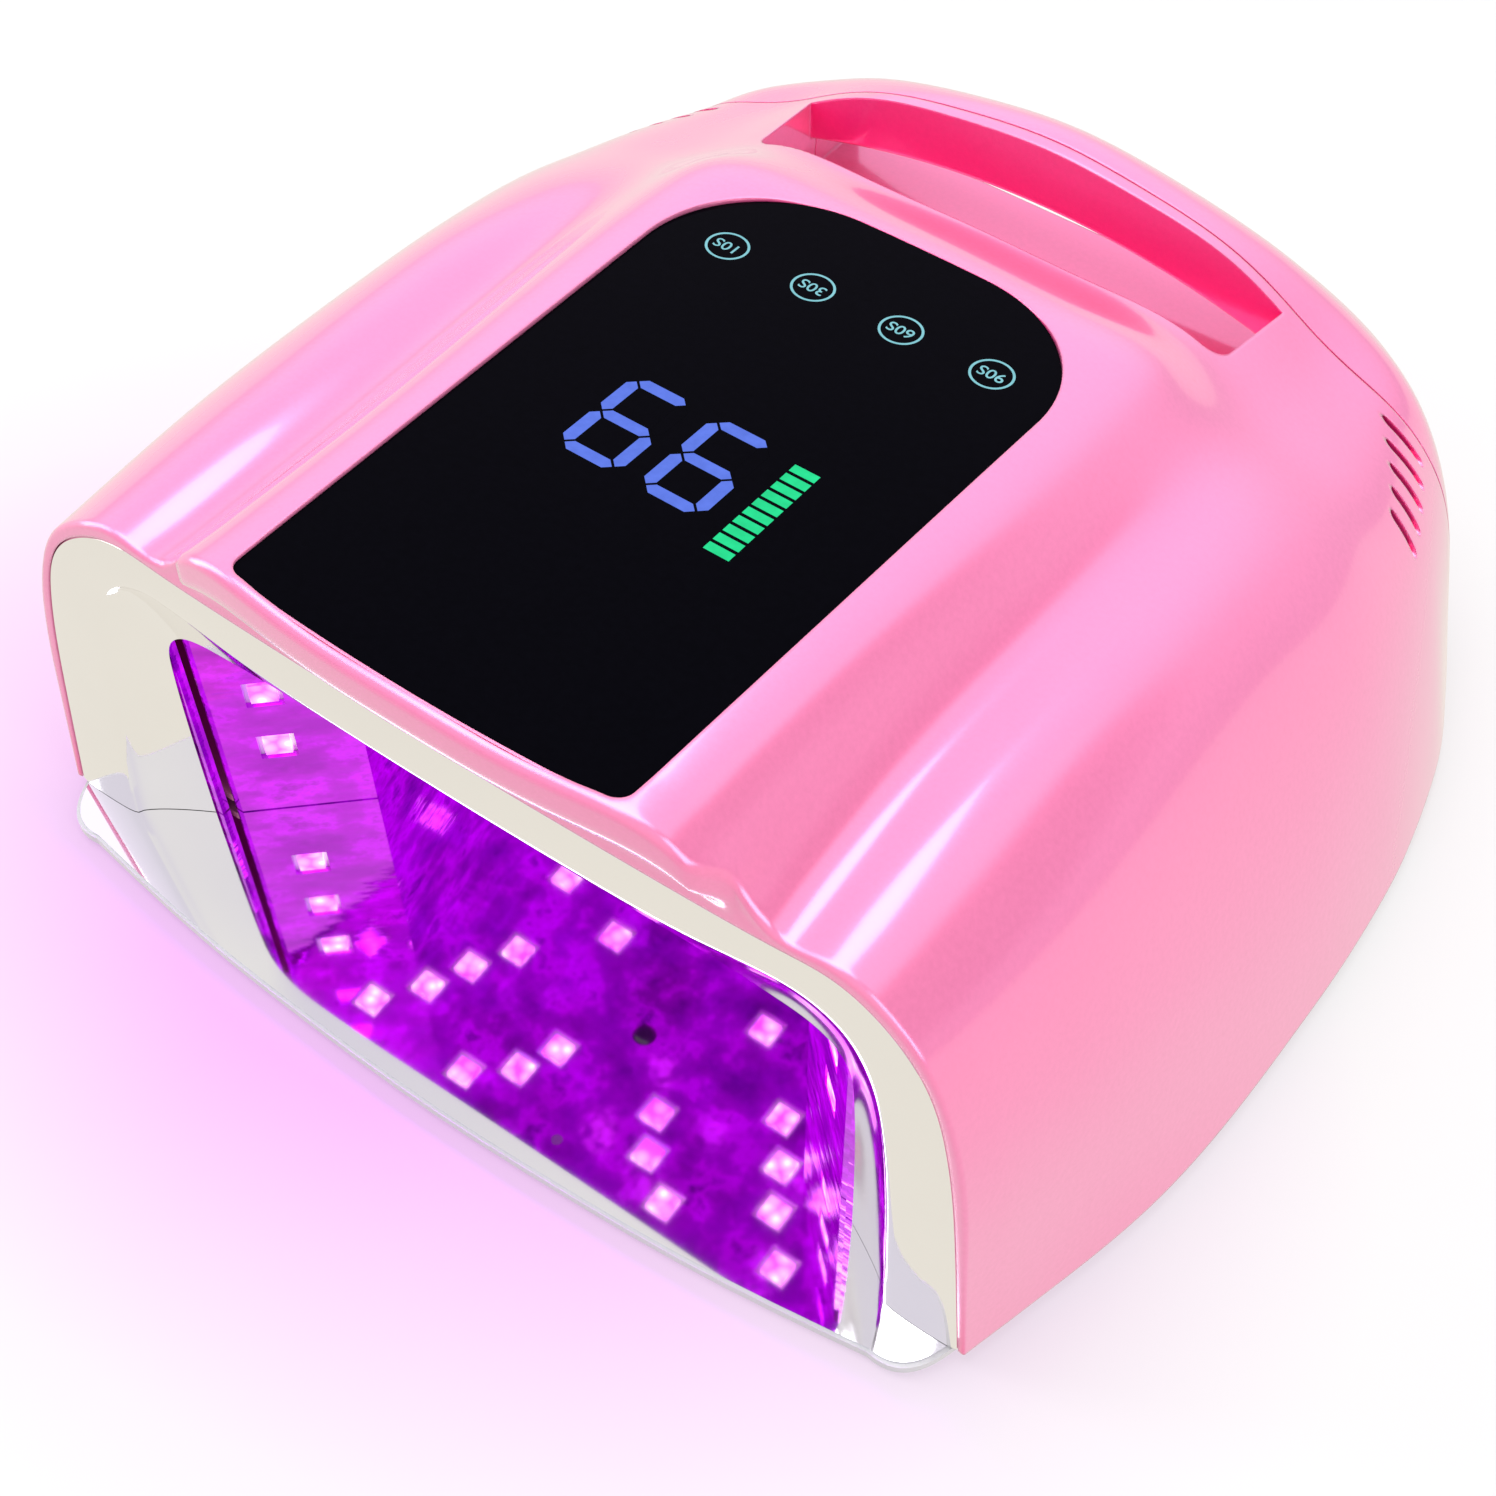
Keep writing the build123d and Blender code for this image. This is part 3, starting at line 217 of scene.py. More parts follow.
def outer_rows():
    """The shell's outer form with its rolled front edge and the cove down to the trim."""
    grid = shell_grid()
    first = grid[0]
    on_brow = np.clip((first[:, 2] - BROW_FOOT) / BROW_RISE, 0, 1)
    on_brow = on_brow * on_brow * (3 - 2 * on_brow)
    edge = LEAN * first[:, 2] * (1 - on_brow) - brow_reach(first[:, 0]) * on_brow
    ease = np.clip(1 - grid[:, :, 1] / EDGE_REACH, 0, 1) ** 2
    grid[:, :, 1] += ease * edge
    trim = spline(full(TRIM_OUTER), np.linspace(0, TRIM_SPANS, 40 * TRIM_SPANS + 1))
    goal = nearest_on(trim, first[:, 0::2])
    drop = goal - first[:, 0::2]
    length = np.linalg.norm(drop, axis=1)
    roll = np.minimum(ROLL, 0.42 * length)
    start = grid[0, :, 1].copy()
    # The outer rows stop short of the edge by the radius of the roll.
    grid[:, :, 1] += np.clip(1 - (grid[:, :, 1] - start) / ROLL_REACH, 0, 1) * roll
    rows = []
    for turn in np.linspace(0.12, 1, 8):
        angle = turn * pi / 2
        inward = roll * (1 - cos(angle)) / np.maximum(length, 1e-6)
        flat = first[:, 0::2] + drop * inward[:, None]
        rows.append(np.column_stack([flat[:, 0], start + roll * (1 - sin(angle)), flat[:, 1]]))
    for share in np.linspace(0.08, 1, 12):
        begin = roll / np.maximum(length, 1e-6)
        inward = begin + (1 - begin) * share
        flat = first[:, 0::2] + drop * inward[:, None]
        cove = np.clip((share - COVE_START) / COVE_SPAN, 0, 1)
        cove = cove * cove * (3 - 2 * cove)
        deep = start * (1 - cove) + (LEAN * flat[:, 1] + 0.1) * cove
        rows.append(np.column_stack([flat[:, 0], deep, flat[:, 1]]))
    front = np.array(rows)[::-1]
    rows = np.concatenate([front, grid])
    rows[:, 0, 2] = rows[:, -1, 2] = 0
    return rows


def mesh_object(name, points, faces):
    """Mesh object from points in lamp millimetres (x, depth, height)."""
    data = bpy.data.meshes.new(name)
    moved = (np.asarray(points, float) + (0, FRONT, SEAM)) / 1000
    data.from_pydata([tuple(p) for p in moved], [], [tuple(int(i) for i in f) for f in faces])
    data.polygons.foreach_set("use_smooth", [True] * len(data.polygons))
    data.update()
    thing = bpy.data.objects.new(name, data)
    bpy.context.scene.collection.objects.link(thing)
    return thing


def grid_faces(rows, columns):
    """Quads of a grid of points stored row by row."""
    r, c = np.meshgrid(np.arange(rows - 1), np.arange(columns - 1), indexing="ij")
    a = (r * columns + c).ravel()
    return np.column_stack([a, a + 1, a + columns + 1, a + columns])


def closed_form(name, rows):
    """Closed solid from rows of outline points: skin, flat bottom and two end caps."""
    count, columns = rows.shape[:2]
    faces = [list(quad) for quad in grid_faces(count, columns)]
    left = [r * columns for r in range(count)]
    right = [r * columns + columns - 1 for r in range(count)]
    last = (count - 1) * columns
    faces += [left + right[::-1], list(range(columns))[::-1], list(range(last, last + columns))]
    return tidy_mesh(mesh_object(name, rows.reshape(-1, 3), faces))


def tidy_mesh(thing, merge=1e-6):
    """Welds, drops loose bits and turns all faces outwards."""
    mesh = bmesh.new()
    mesh.from_mesh(thing.data)
    bmesh.ops.remove_doubles(mesh, verts=mesh.verts, dist=merge)
    bmesh.ops.recalc_face_normals(mesh, faces=mesh.faces)
    mesh.to_mesh(thing.data)
    mesh.free()
    thing.data.update()
    return thing


def mend(data):
    """Welds slivers left by a boolean and fills any hole it made."""
    mesh = bmesh.new()
    mesh.from_mesh(data)
    bmesh.ops.remove_doubles(mesh, verts=mesh.verts, dist=2e-6)
    bmesh.ops.dissolve_degenerate(mesh, edges=mesh.edges, dist=2e-6)
    loose = [v for v in mesh.verts if not v.link_faces]
    bmesh.ops.delete(mesh, geom=loose, context="VERTS")
    rims = [e for e in mesh.edges if len(e.link_faces) == 1]
    if rims:
        bmesh.ops.holes_fill(mesh, edges=rims, sides=0)
    mesh.to_mesh(data)
    mesh.free()


def carve(target, tool, way="DIFFERENCE"):
    """Applies a boolean of tool to target."""
    cut = target.modifiers.new("cut", "BOOLEAN")
    cut.operation = way
    cut.solver = "EXACT"
    cut.object = tool
    cut.use_hole_tolerant = True
    graph = bpy.context.evaluated_depsgraph_get()
    data = bpy.data.meshes.new_from_object(target.evaluated_get(graph))
    target.modifiers.clear()
    old = target.data
    target.data = data
    bpy.data.meshes.remove(old)
    bpy.data.objects.remove(tool)
    mend(target.data)
    return target


def facet(thing):
    """Splits every face into triangles, so a boolean has no many-sided faces to misread."""
    mesh = bmesh.new()
    mesh.from_mesh(thing.data)
    bmesh.ops.triangulate(mesh, faces=mesh.faces)
    mesh.to_mesh(thing.data)
    mesh.free()
    return thing


def loft(name, rings):
    """Closed solid through rings of equal counts of points."""
    count, size = len(rings), len(rings[0])
    points = [p for ring in rings for p in ring]
    faces = []
    for r in range(count - 1):
        for i in range(size):
            j = (i + 1) % size
            faces.append([r * size + i, r * size + j, (r + 1) * size + j, (r + 1) * size + i])
    faces.append(list(range(size))[::-1])
    faces.append([(count - 1) * size + i for i in range(size)])
    return tidy_mesh(mesh_object(name, points, faces))


def grip_tool(name, grow):
    """Solid of the hand grip's space: recess, gap under the bar and opening at the back."""
    front = RECESS_FRONT - grow
    profile = [(front, 120), (front, 72)]
    start, end = (front, 71), (188, FLOOR_REAR + 1.5 - grow)
    middle = (167 - grow * 0.7, 49 - grow * 0.7)
    for t in np.linspace(0, 1, 24):
        w = [(1 - t) * (1 - 2 * t), 4 * t * (1 - t), t * (2 * t - 1)]
        profile.append(tuple(w[0] * start[k] + w[1] * middle[k] + w[2] * end[k] for k in (0, 1)))
    profile += [(215, FLOOR_REAR - grow), (215, 120)]
    half = RECESS_HALF + grow
    # Rounded upright corners: the front face steps back as the ring nears the side.
    stations = []
    for inward in (0.0, 0.35, 1.1, 2.2, RECESS_CORNER):
        push = RECESS_CORNER - (RECESS_CORNER**2 - (RECESS_CORNER - inward) ** 2) ** 0.5
        stations.append((-half + inward, push))
    straight = half - RECESS_CORNER - 6
    stations += [(x, 0.0) for x in np.linspace(-straight, straight, 12)]
    stations += [(-x, push) for x, push in reversed(stations[:5])]
    rings = []
    for x, push in stations:
        ring = []
        for depth, height in profile:
            d = depth + push if depth < 185 else depth
            wide = 1 + RECESS_FLARE / half * np.clip((d - RECESS_FRONT) / 24, 0, 1)
            ring.append((x * wide, d, height))
        rings.append(ring)
    return loft(name, rings)


def bar_tool(name, grow):
    """What the grip's space leaves standing: the bar, as an arched beam across the back."""
    front = BAR_FRONT + grow
    rings = []
    for x in np.linspace(-62, 62, 40):
        low = BAR_UNDER_MID + grow - (BAR_UNDER_MID - BAR_UNDER_END) * (x / 52) ** 2
        rings.append([(x, front + 1.6, low), (x, front + 0.5, low + 0.5), (x, front, low + 1.6),
                      (x, front, 124), (x, 240, 124), (x, 240, low)])
    return loft(name, rings)


def cavity_form():
    """The inside of the shell: every outline moved inwards by the wall, measured square to it."""
    rows = []
    spots = np.linspace(0, SHELL_SPANS, 2 * SHELL_SPANS + 1)
    for depth in np.linspace(CAVITY_FRONT, REAR_FACE - WALL, 48):
        flat = spline(full([tuple(p) for p in section(depth)]), spots)
        along = np.gradient(flat, axis=0)
        inward = np.column_stack([along[:, 1], -along[:, 0]])
        inward /= np.linalg.norm(inward, axis=1, keepdims=True)
        moved = flat + inward * WALL * (CAVITY_THICKER if depth > CAVITY_TAPER else 1.0)
        moved[0, 1] = moved[-1, 1] = -1.0
        rows.append(np.column_stack([moved[:, 0], np.full(len(moved), depth), moved[:, 1]]))
    return closed_form("cavity_form", np.array(rows))


def outline_tool(name, outline, depths, low=-3.0):
    """Solid with an arched outline between two depths."""
    rings = []
    for depth in depths:
        ring = [(x, depth + LEAN * z, z) for x, z in outline]
        ring += [(outline[-1][0], depth, low), (outline[0][0], depth, low)]
        rings.append(ring)
    return loft(name, rings)


def panel_point(u, v, lift=0.0):
    """Point on the touch panel in lamp millimetres; v runs back along it, lift is square to it."""
    fall = radians(PANEL_TILT)
    return (u, 0.7 + v * cos(fall) + lift * sin(fall),
            PANEL_FRONT - v * sin(fall) + lift * cos(fall))


def lens_ring(grow=0.0):
    """Outline of the lens on the panel, grown outwards."""
    points = []

    def side_half(v):
        return LENS_FRONT_HALF + (LENS_REAR_HALF - LENS_FRONT_HALF) * v / LENS_LENGTH

    def turn(centre, radius, first, last, steps):
        for angle in np.linspace(radians(first), radians(last), steps):
            points.append((centre[0] + (radius + grow) * cos(angle),
                           centre[1] + (radius + grow) * sin(angle)))

    for u in np.linspace(-30, 30, 25):
        points.append((u, -LENS_FRONT_BOW * (1 - (u / LENS_FRONT_HALF) ** 2) - grow))
    turn((LENS_FRONT_HALF - LENS_FRONT_CORNER, LENS_FRONT_CORNER), LENS_FRONT_CORNER, -85, -2, 9)
    for v in np.linspace(8, LENS_LENGTH - 30, 24):
        points.append((side_half(v) + grow, v))
    last = LENS_LENGTH - 26.4
    turn((side_half(last) - LENS_REAR_CORNER, last), LENS_REAR_CORNER, 0, 88, 20)
    right_side = points[25:]
    for u in np.linspace(11, -11, 9):
        points.append((u, LENS_LENGTH + LENS_REAR_BOW * (1 - (u / LENS_REAR_HALF) ** 2) + grow))
    return points + [(-u, v) for u, v in reversed(right_side)]


def lens_tool(name, grow, low, high):
    """Solid in the lens's outline between two levels square to the panel."""
    ring = lens_ring(grow)
    return loft(name, [[panel_point(u, v, lift) for u, v in ring] for lift in (low, high)])


def slot_tool(name, flank):
    """The cooling slots of one flank, one rounded bar each."""
    parts = []
    for number in range(VENT_COUNT):
        depth = VENT_FIRST + VENT_PITCH * number
        top, low = VENT_TOP - 0.1 * number, VENT_LOW + 0.1 * number
        ring = []
        for middle, turn in ((top - VENT_HALF, 0), (low + VENT_HALF, pi)):
            for angle in np.linspace(turn, turn + pi, 9):
                ring.append((depth + VENT_HALF * cos(angle), middle + VENT_HALF * sin(angle)))
        rings = [[(x * flank, d, h) for d, h in ring] for x in (68, 125)]
        parts.append(loft(f"{name}_{number}", rings))
    return parts


def split_at(thing, depth, keep_front, name):
    """Copy of a mesh object cut by an upright plane, its cut closed, keeping one side."""
    data = thing.data.copy()
    mesh = bmesh.new()
    mesh.from_mesh(data)
    cut = bmesh.ops.bisect_plane(
        mesh, geom=mesh.verts[:] + mesh.edges[:] + mesh.faces[:], dist=1e-7,
        plane_co=place(0, depth, 0), plane_no=(0, 1, 0),
        clear_outer=keep_front, clear_inner=not keep_front)
    rim = [e for e in cut["geom_cut"] if isinstance(e, bmesh.types.BMEdge)]
    bmesh.ops.triangle_fill(mesh, use_beauty=True, use_dissolve=False, edges=rim)
    bmesh.ops.recalc_face_normals(mesh, faces=mesh.faces)
    mesh.to_mesh(data)
    mesh.free()
    data.name = name
    part = bpy.data.objects.new(name, data)
    bpy.context.scene.collection.objects.link(part)
    return part


def sharpen(thing, angle=32.0):
    """Smooth shading broken at sharp edges, with normals led by the large faces."""
    mesh = bmesh.new()
    mesh.from_mesh(thing.data)
    for face in mesh.faces:
        face.smooth = True
    limit = radians(angle)
    for edge in mesh.edges:
        edge.smooth = not (len(edge.link_faces) == 2 and edge.calc_face_angle(0.0) > limit)
    mesh.to_mesh(thing.data)
    mesh.free()
    lead = thing.modifiers.new("normals", "WEIGHTED_NORMAL")
    lead.keep_sharp = True
    lead.weight = 80
    return thing


def build_shell():
    """Main shell and rear cover meshes."""
    rows = outer_rows()
    shell = closed_form("shell_form", rows)
    void = facet(carve(grip_tool("grip_space", 0.0), bar_tool("bar_left", 0.0)))
    grown = facet(carve(grip_tool("grip_grown", WALL), bar_tool("bar_grown", WALL)))
    hollow = facet(carve(cavity_form(), grown))
    carve(shell, void)
    carve(shell, hollow)
    trim = spline(full(TRIM_OUTER), np.linspace(0, TRIM_SPANS, 8 * TRIM_SPANS + 1))
    carve(shell, outline_tool("mouth", trim, (-8.0, 8.0)))
    carve(shell, lens_tool("window", -3.0, -6.5, 12))
    carve(shell, lens_tool("rebate", 0.15, -2.1, 10))
    for flank in (1, -1):
        for tool in slot_tool("slot", flank):
            carve(shell, tool)
    main = split_at(shell, REAR_JOINT, True, "shell_body")
    cover = split_at(shell, REAR_JOINT + JOINT_GAP, False, "cover_body")
    bpy.data.objects.remove(shell)
    return sharpen(main), sharpen(cover)


def build_trim():
    """Chrome trim: a crowned band round the mouth that rolls over into the flare."""
    spots = np.linspace(0, TRIM_SPANS, 10 * TRIM_SPANS + 1)
    outer, inner, mouth = [spline(full(c), spots) for c in (TRIM_OUTER, TRIM_INNER, TRIM_MOUTH)]
    for curve in (outer, inner, mouth):
        curve[0, 1] = curve[-1, 1] = 0.05
    band = inner - outer
    width = np.linalg.norm(band, axis=1, keepdims=True)
    unit = band / width
    deep = mouth - inner
    profile = [(outer + unit * 0.05, 3.0), (outer, 0.7), (outer + unit * 0.3, 0.2),
               (outer + unit * 1.0, 0.02)]
    for share in np.linspace(0.15, 0.85, 7):
        profile.append((outer + band * share, -0.35 * (1 - (2 * share - 1) ** 2)))
    for share, depth in ((0.95, 0.05), (1.0, 0.35)):
        profile.append((outer + band * share, depth))
    for share in np.linspace(0.06, 1, 10):
        back = 0.6 + (MOUTH_DEPTH - 0.6) * share ** 0.9
        profile.append((inner + deep * share ** 1.15, back - LEAN * mouth[:, 1] * share))
    profile.append((mouth - unit * 1.3, MOUTH_DEPTH - LEAN * mouth[:, 1]))
    profile.append((inner - unit * 1.3, 1.8))
    profile.append((outer + unit * 3.0, 2.4))
    rings = []
    for i in range(len(spots)):
        ring = []
        for flat, depth in profile:
            back = depth[i] if isinstance(depth, np.ndarray) else depth
            ring.append((flat[i][0], back + LEAN * flat[i][1], max(flat[i][1], 0.05)))
        rings.append(ring)
    return sharpen(loft("trim_band", rings), 40)


def build_bead():
    """Thin polished bead where the shell meets the touch panel."""
    rows = []
    for grow, lift in ((0.16, -0.3), (0.18, 0.05), (0.32, 0.14), (0.5, 0.1), (0.62, -0.1)):
        ring = lens_ring(grow)
        rows.append([panel_point(u, v, lift) for u, v in ring + ring[:1]])
    rows = np.array(rows)
    made = mesh_object("panel_bead", rows.reshape(-1, 3), grid_faces(*rows.shape[:2]))
    return tidy_mesh(made)


main_body, cover_body = build_shell()
trim_band = build_trim()
panel_bead = build_bead()
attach(panel_bead, "lamp")
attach(main_body, "lamp")
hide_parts("main_shell")
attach(cover_body, "lamp")
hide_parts("rear_cover")
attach(trim_band, "lamp")
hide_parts("front_trim")


# ------------------------------------------------------------------ materials
class Finish:
    """Builds the node tree of one material or world, reusing the material of that name."""

    def __init__(self, name, world=None):
        self.material = world or bpy.data.materials.get(name) or bpy.data.materials.new(name)
        self.material.use_nodes = True
        self.tree = self.material.node_tree
        self.tree.nodes.clear()
        self.out = self.tree.nodes.new("ShaderNodeOutput" + ("World" if world else "Material"))
        spots = self.tree.nodes.new("ShaderNodeTexCoord").outputs
        self.where = spots["Generated" if world else "Object"]

    def node(self, kind, settings=None, **inputs):
        made = self.tree.nodes.new("ShaderNode" + kind)
        for key, value in (settings or {}).items():
            setattr(made, key, value)
        for key, value in inputs.items():
            numbered = key[0] == "i" and key[1:].isdigit()
            socket = made.inputs[int(key[1:]) if numbered else key.replace("_", " ")]
            if isinstance(value, bpy.types.NodeSocket):
                self.tree.links.new(value, socket)
            else:
                socket.default_value = value
        return made

    def noise(self, scale, detail=4.0, stretch=(1, 1, 1), rough=0.55):
        moved = self.node("Mapping", i0=self.where, i3=stretch).outputs[0]
        made = self.node("TexNoise", Vector=moved, Scale=scale, Detail=detail, Roughness=rough)
        return made.outputs["Fac"]

    def ramp(self, factor, stops):
        made = self.node("ValToRGB", i0=factor)
        ramp = made.color_ramp
        while len(ramp.elements) < len(stops):
            ramp.elements.new(0.5)
        for element, (spot, colour) in zip(ramp.elements, stops):
            element.position = spot
            element.color = (*colour, 1) if len(colour) == 3 else colour
        return made.outputs[0]

    def grey(self, factor, low, high):
        return self.node("MapRange", i0=factor, i3=low, i4=high).outputs[0]

    def blend(self, factor, one, two, way="MIX"):
        made = self.node("Mix", {"data_type": "RGBA", "blend_type": way}, i0=factor)
        for socket, value in ((made.inputs[6], one), (made.inputs[7], two)):
            if isinstance(value, bpy.types.NodeSocket):
                self.tree.links.new(value, socket)
            else:
                socket.default_value = (*value, 1)
        return made.outputs[2]

    def along(self, vector, aim):
        """How far a vector points along a direction."""
        made = self.node("VectorMath", {"operation": "DOT_PRODUCT"}, i0=vector, i1=aim)
        return made.outputs["Value"]

    def bump(self, height, strength, distance=0.0002, normal=None):
        made = self.node("Bump", Height=height, Strength=strength, Distance=distance)
        if normal is not None:
            self.tree.links.new(normal, made.inputs["Normal"])
        return made.outputs[0]

    def surface(self, **inputs):
        made = self.node("BsdfPrincipled", **inputs)
        self.tree.links.new(made.outputs[0], self.out.inputs[0])
        return self.material


def lacquer(name):
    """Pearl lacquer over pink plastic: lavender at a glance, painted deep pink shade in front-facing
    hollows, clear coat.
    """
    f = Finish(name)
    cloud = f.noise(18, 3)
    grain = f.noise(900, 2)
    facing = f.node("LayerWeight", Blend=0.35).outputs["Facing"]
    pink = f.blend(cloud, (0.90, 0.21, 0.42), (0.93, 0.24, 0.46))
    pearl = f.blend(f.grey(facing, 0.0, 0.40), pink, (0.93, 0.40, 0.76))
    # Painted shade: occluded spots that face the front are coloured hot pink, standing in for the
    # shade in the recess and the cove.
    open_share = f.node("AmbientOcclusion", {"samples": 6}, Distance=0.045).outputs["AO"]
    hollow = f.ramp(open_share, [(0.40, (1, 1, 1)), (0.85, (0, 0, 0))])
    normal = f.node("NewGeometry").outputs["Normal"]
    wall = f.node("MapRange", i0=f.along(normal, (0, -1, 0)), i1=0.45, i2=0.85).outputs[0]
    # The hot pink (0.93, 0.012, 0.24) is painted shade, laid where the hollow and front-facing masks
    # meet.
    shade = f.blend(f.blend(1.0, hollow, f.blend(wall, (0.12,) * 3, (1, 1, 1)), "MULTIPLY"),
                    pearl, (0.93, 0.012, 0.24))
    edge = f.node("Bevel", {"samples": 4}, Radius=0.0009).outputs[0]
    skin = f.bump(f.noise(260, 2), 0.02, 0.0002, edge)
    return f.surface(Base_Color=shade, Metallic=f.grey(grain, 0.34, 0.46),
                     Roughness=f.grey(f.noise(60, 3), 0.17, 0.23), Normal=skin,
                     Coat_Weight=1.0, Coat_Roughness=f.grey(f.noise(35, 3), 0.03, 0.07),
                     Coat_Normal=edge)


def metal(name, light, dark, rough, stretch=(1, 1, 1), scale=120, strength=0.03):
    """Plain metal with faint cloudiness and fine wear."""
    f = Finish(name)
    grain = f.noise(scale, 6, stretch)
    return f.surface(Base_Color=f.blend(f.noise(25), dark, light), Metallic=1.0,
                     Roughness=f.grey(grain, rough * 0.6, rough * 1.5),
                     Normal=f.bump(grain, strength))


def plastic(name, light, dark, rough, scale=300, strength=0.12, coat=0.0):
    """Moulded plastic or rubber with a fine spark-eroded grain."""
    f = Finish(name)
    grain = f.noise(scale, 5)
    return f.surface(Base_Color=f.blend(f.noise(22), dark, light),
                     Roughness=f.grey(grain, rough * 0.8, min(rough * 1.2, 1)),
                     Normal=f.bump(grain, strength), Coat_Weight=coat)


def glow(name, colour, pale, strength, scale=500):
    """Backlit mark: its light is a little uneven, brightest where the diffuser is thin."""
    f = Finish(name)
    cloud = f.noise(scale, 3)
    shade = f.blend(cloud, colour, pale)
    return f.surface(Base_Color=(0, 0, 0, 1), Roughness=0.35, Specular_IOR_Level=0.1,
                     Emission_Color=shade,
                     Emission_Strength=f.grey(cloud, strength * 0.85, strength * 1.15))


def board(name, solder_mask, trace, gloss=0.3):
    """Printed circuit board: solder mask with a net of traces and pads."""
    f = Finish(name)
    lines = f.node("TexBrick", {"offset": 0.35, "squash": 0.6}, Vector=f.where, Scale=90.0,
                   Mortar_Size=0.035, Color1=(0, 0, 0, 1), Color2=(0.08, 0.08, 0.08, 1),
                   Mortar=(1, 1, 1, 1)).outputs[0]
    pads = f.ramp(f.node("TexVoronoi", Vector=f.where, Scale=260.0).outputs["Distance"],
                  [(0.18, (1, 1, 1)), (0.24, (0, 0, 0))])
    net = f.blend(1.0, lines, pads, "ADD")
    return f.surface(Base_Color=f.blend(net, solder_mask, trace),
                     Metallic=f.blend(net, (0, 0, 0), (0.6,) * 3),
                     Roughness=f.grey(f.noise(400), gloss * 0.8, gloss * 1.3),
                     Normal=f.bump(net, 0.3, 0.0001))


def mirror_with_painted_glints(name, deep, glint_colour, level):
    """Vacuum-metallised mirror: painted reflections of its violet emitters, laid on as glow, over
    metal tinted purple as painted violet light.
    """
    f = Finish(name)
    streak = f.noise(55, 3, (1, 1, 3.5))
    # Painted reflections: glints of the emitters are drawn as emission in the mirror's surface.
    painted_glints = f.ramp(f.noise(75, 5, (1, 1, 1.6), 0.62),
                    [(0.36, deep), (0.50, tuple(0.45 * c for c in glint_colour)), (0.58, glint_colour), (0.66, deep),
                     (0.74, glint_colour)])
    # The purple base colour is painted violet light on the chrome.
    return f.surface(Base_Color=f.blend(streak, (0.38, 0.03, 0.50), (0.75, 0.06, 0.90)),
                     Metallic=1.0,
                     Roughness=f.grey(streak, 0.04, 0.12), Normal=f.bump(streak, 0.25, 0.0008),
                     Emission_Color=painted_glints,
                     Emission_Strength=f.grey(streak, level * 0.6, level * 1.4))


def emitters(name):
    """Ultraviolet emitter: a hot pinkish chip in each package, violet towards the rim."""
    f = Finish(name)
    cells = f.node("TexVoronoi", Vector=f.where, Scale=330.0).outputs["Distance"]
    shade = f.ramp(cells, [(0.0, (1.0, 0.80, 1.0)), (0.35, (1.0, 0.30, 0.95)),
                           (0.8, (0.55, 0.02, 0.75))])
    return f.surface(Base_Color=(0.6, 0.2, 0.7, 1), Roughness=0.3, Emission_Color=shade,
                     Emission_Strength=1.9)


def black_glass(name):
    """Smoked acrylic lens with a hard glossy face and a faint print underneath."""
    f = Finish(name)
    haze = f.noise(700, 2)
    return f.surface(Base_Color=f.blend(haze, (0.0006, 0.0006, 0.0014), (0.0012, 0.0012, 0.0026)),
                     Roughness=f.grey(f.noise(90), 0.10, 0.16), Normal=f.bump(haze, 0.004),
                     Specular_IOR_Level=0.012)


def wrap(name):
    """Printed shrink wrap round a cell: two tones with a fine crease pattern."""
    f = Finish(name)
    bands = f.node("TexWave", {"bands_direction": "X"}, Vector=f.where, Scale=12.0,
                   Distortion=0.4).outputs["Fac"]
    folds = f.noise(180, 3, (0.3, 2, 2))
    return f.surface(Base_Color=f.blend(bands, (0.02, 0.12, 0.42), (0.03, 0.18, 0.55)),
                     Roughness=f.grey(folds, 0.25, 0.45), Normal=f.bump(folds, 0.2),
                     Coat_Weight=0.4)


def woven(name, light, dark):
    """Insulated wire with a slight twist showing through the jacket."""
    f = Finish(name)
    twist = f.node("TexWave", {"bands_direction": "DIAGONAL"}, Vector=f.where, Scale=160.0,
                   Distortion=1.0).outputs["Fac"]
    return f.surface(Base_Color=f.blend(twist, dark, light),
                     Roughness=f.grey(f.noise(300), 0.35, 0.5),
                     Normal=f.bump(twist, 0.25, 0.0002))


def ribbon(name):
    """Flat cable with parallel conductors."""
    f = Finish(name)
    lines = f.node("TexWave", {"bands_direction": "X"}, Vector=f.where, Scale=320.0).outputs["Fac"]
    return f.surface(Base_Color=f.blend(lines, (0.75, 0.75, 0.72), (0.5, 0.5, 0.52)), Roughness=0.4,
                     Normal=f.bump(lines, 0.4, 0.0002))


lacquer("pink_gloss_shell")
lacquer("pink_gloss_cover")
metal("chrome_trim", (0.95, 0.94, 0.92), (0.90, 0.89, 0.88), 0.05, scale=80, strength=0.01)
black_glass("black_lens")
glow("blue_segments", (0.095, 0.18, 0.78), (0.12, 0.21, 0.84), 1.0)
black_glass("dark_segments")
glow("green_bars", (0.005, 0.72, 0.26), (0.01, 0.85, 0.33), 0.95)
glow("cyan_rings", (0.22, 0.62, 0.70), (0.30, 0.72, 0.80), 0.9)
mirror_with_painted_glints("reflector_chrome", (0.045, 0.0, 0.09), (0.42, 0.0, 0.62), 0.8)
metal("mirror_film", (0.90, 0.90, 0.93), (0.84, 0.84, 0.88), 0.04, scale=60, strength=0.006)
plastic("base_plastic", (0.62, 0.62, 0.65), (0.50, 0.50, 0.53), 0.25, coat=0.6)
emitters("led_white")
board("pcb_aluminium", (0.75, 0.76, 0.76), (0.90, 0.88, 0.80))
board("pcb_green", (0.01, 0.13, 0.045), (0.10, 0.36, 0.14))
plastic("component_black", (0.02, 0.02, 0.022), (0.010, 0.010, 0.012), 0.45)
metal("steel_screw", (0.62, 0.62, 0.63), (0.45, 0.45, 0.46), 0.3, (1, 1, 6))
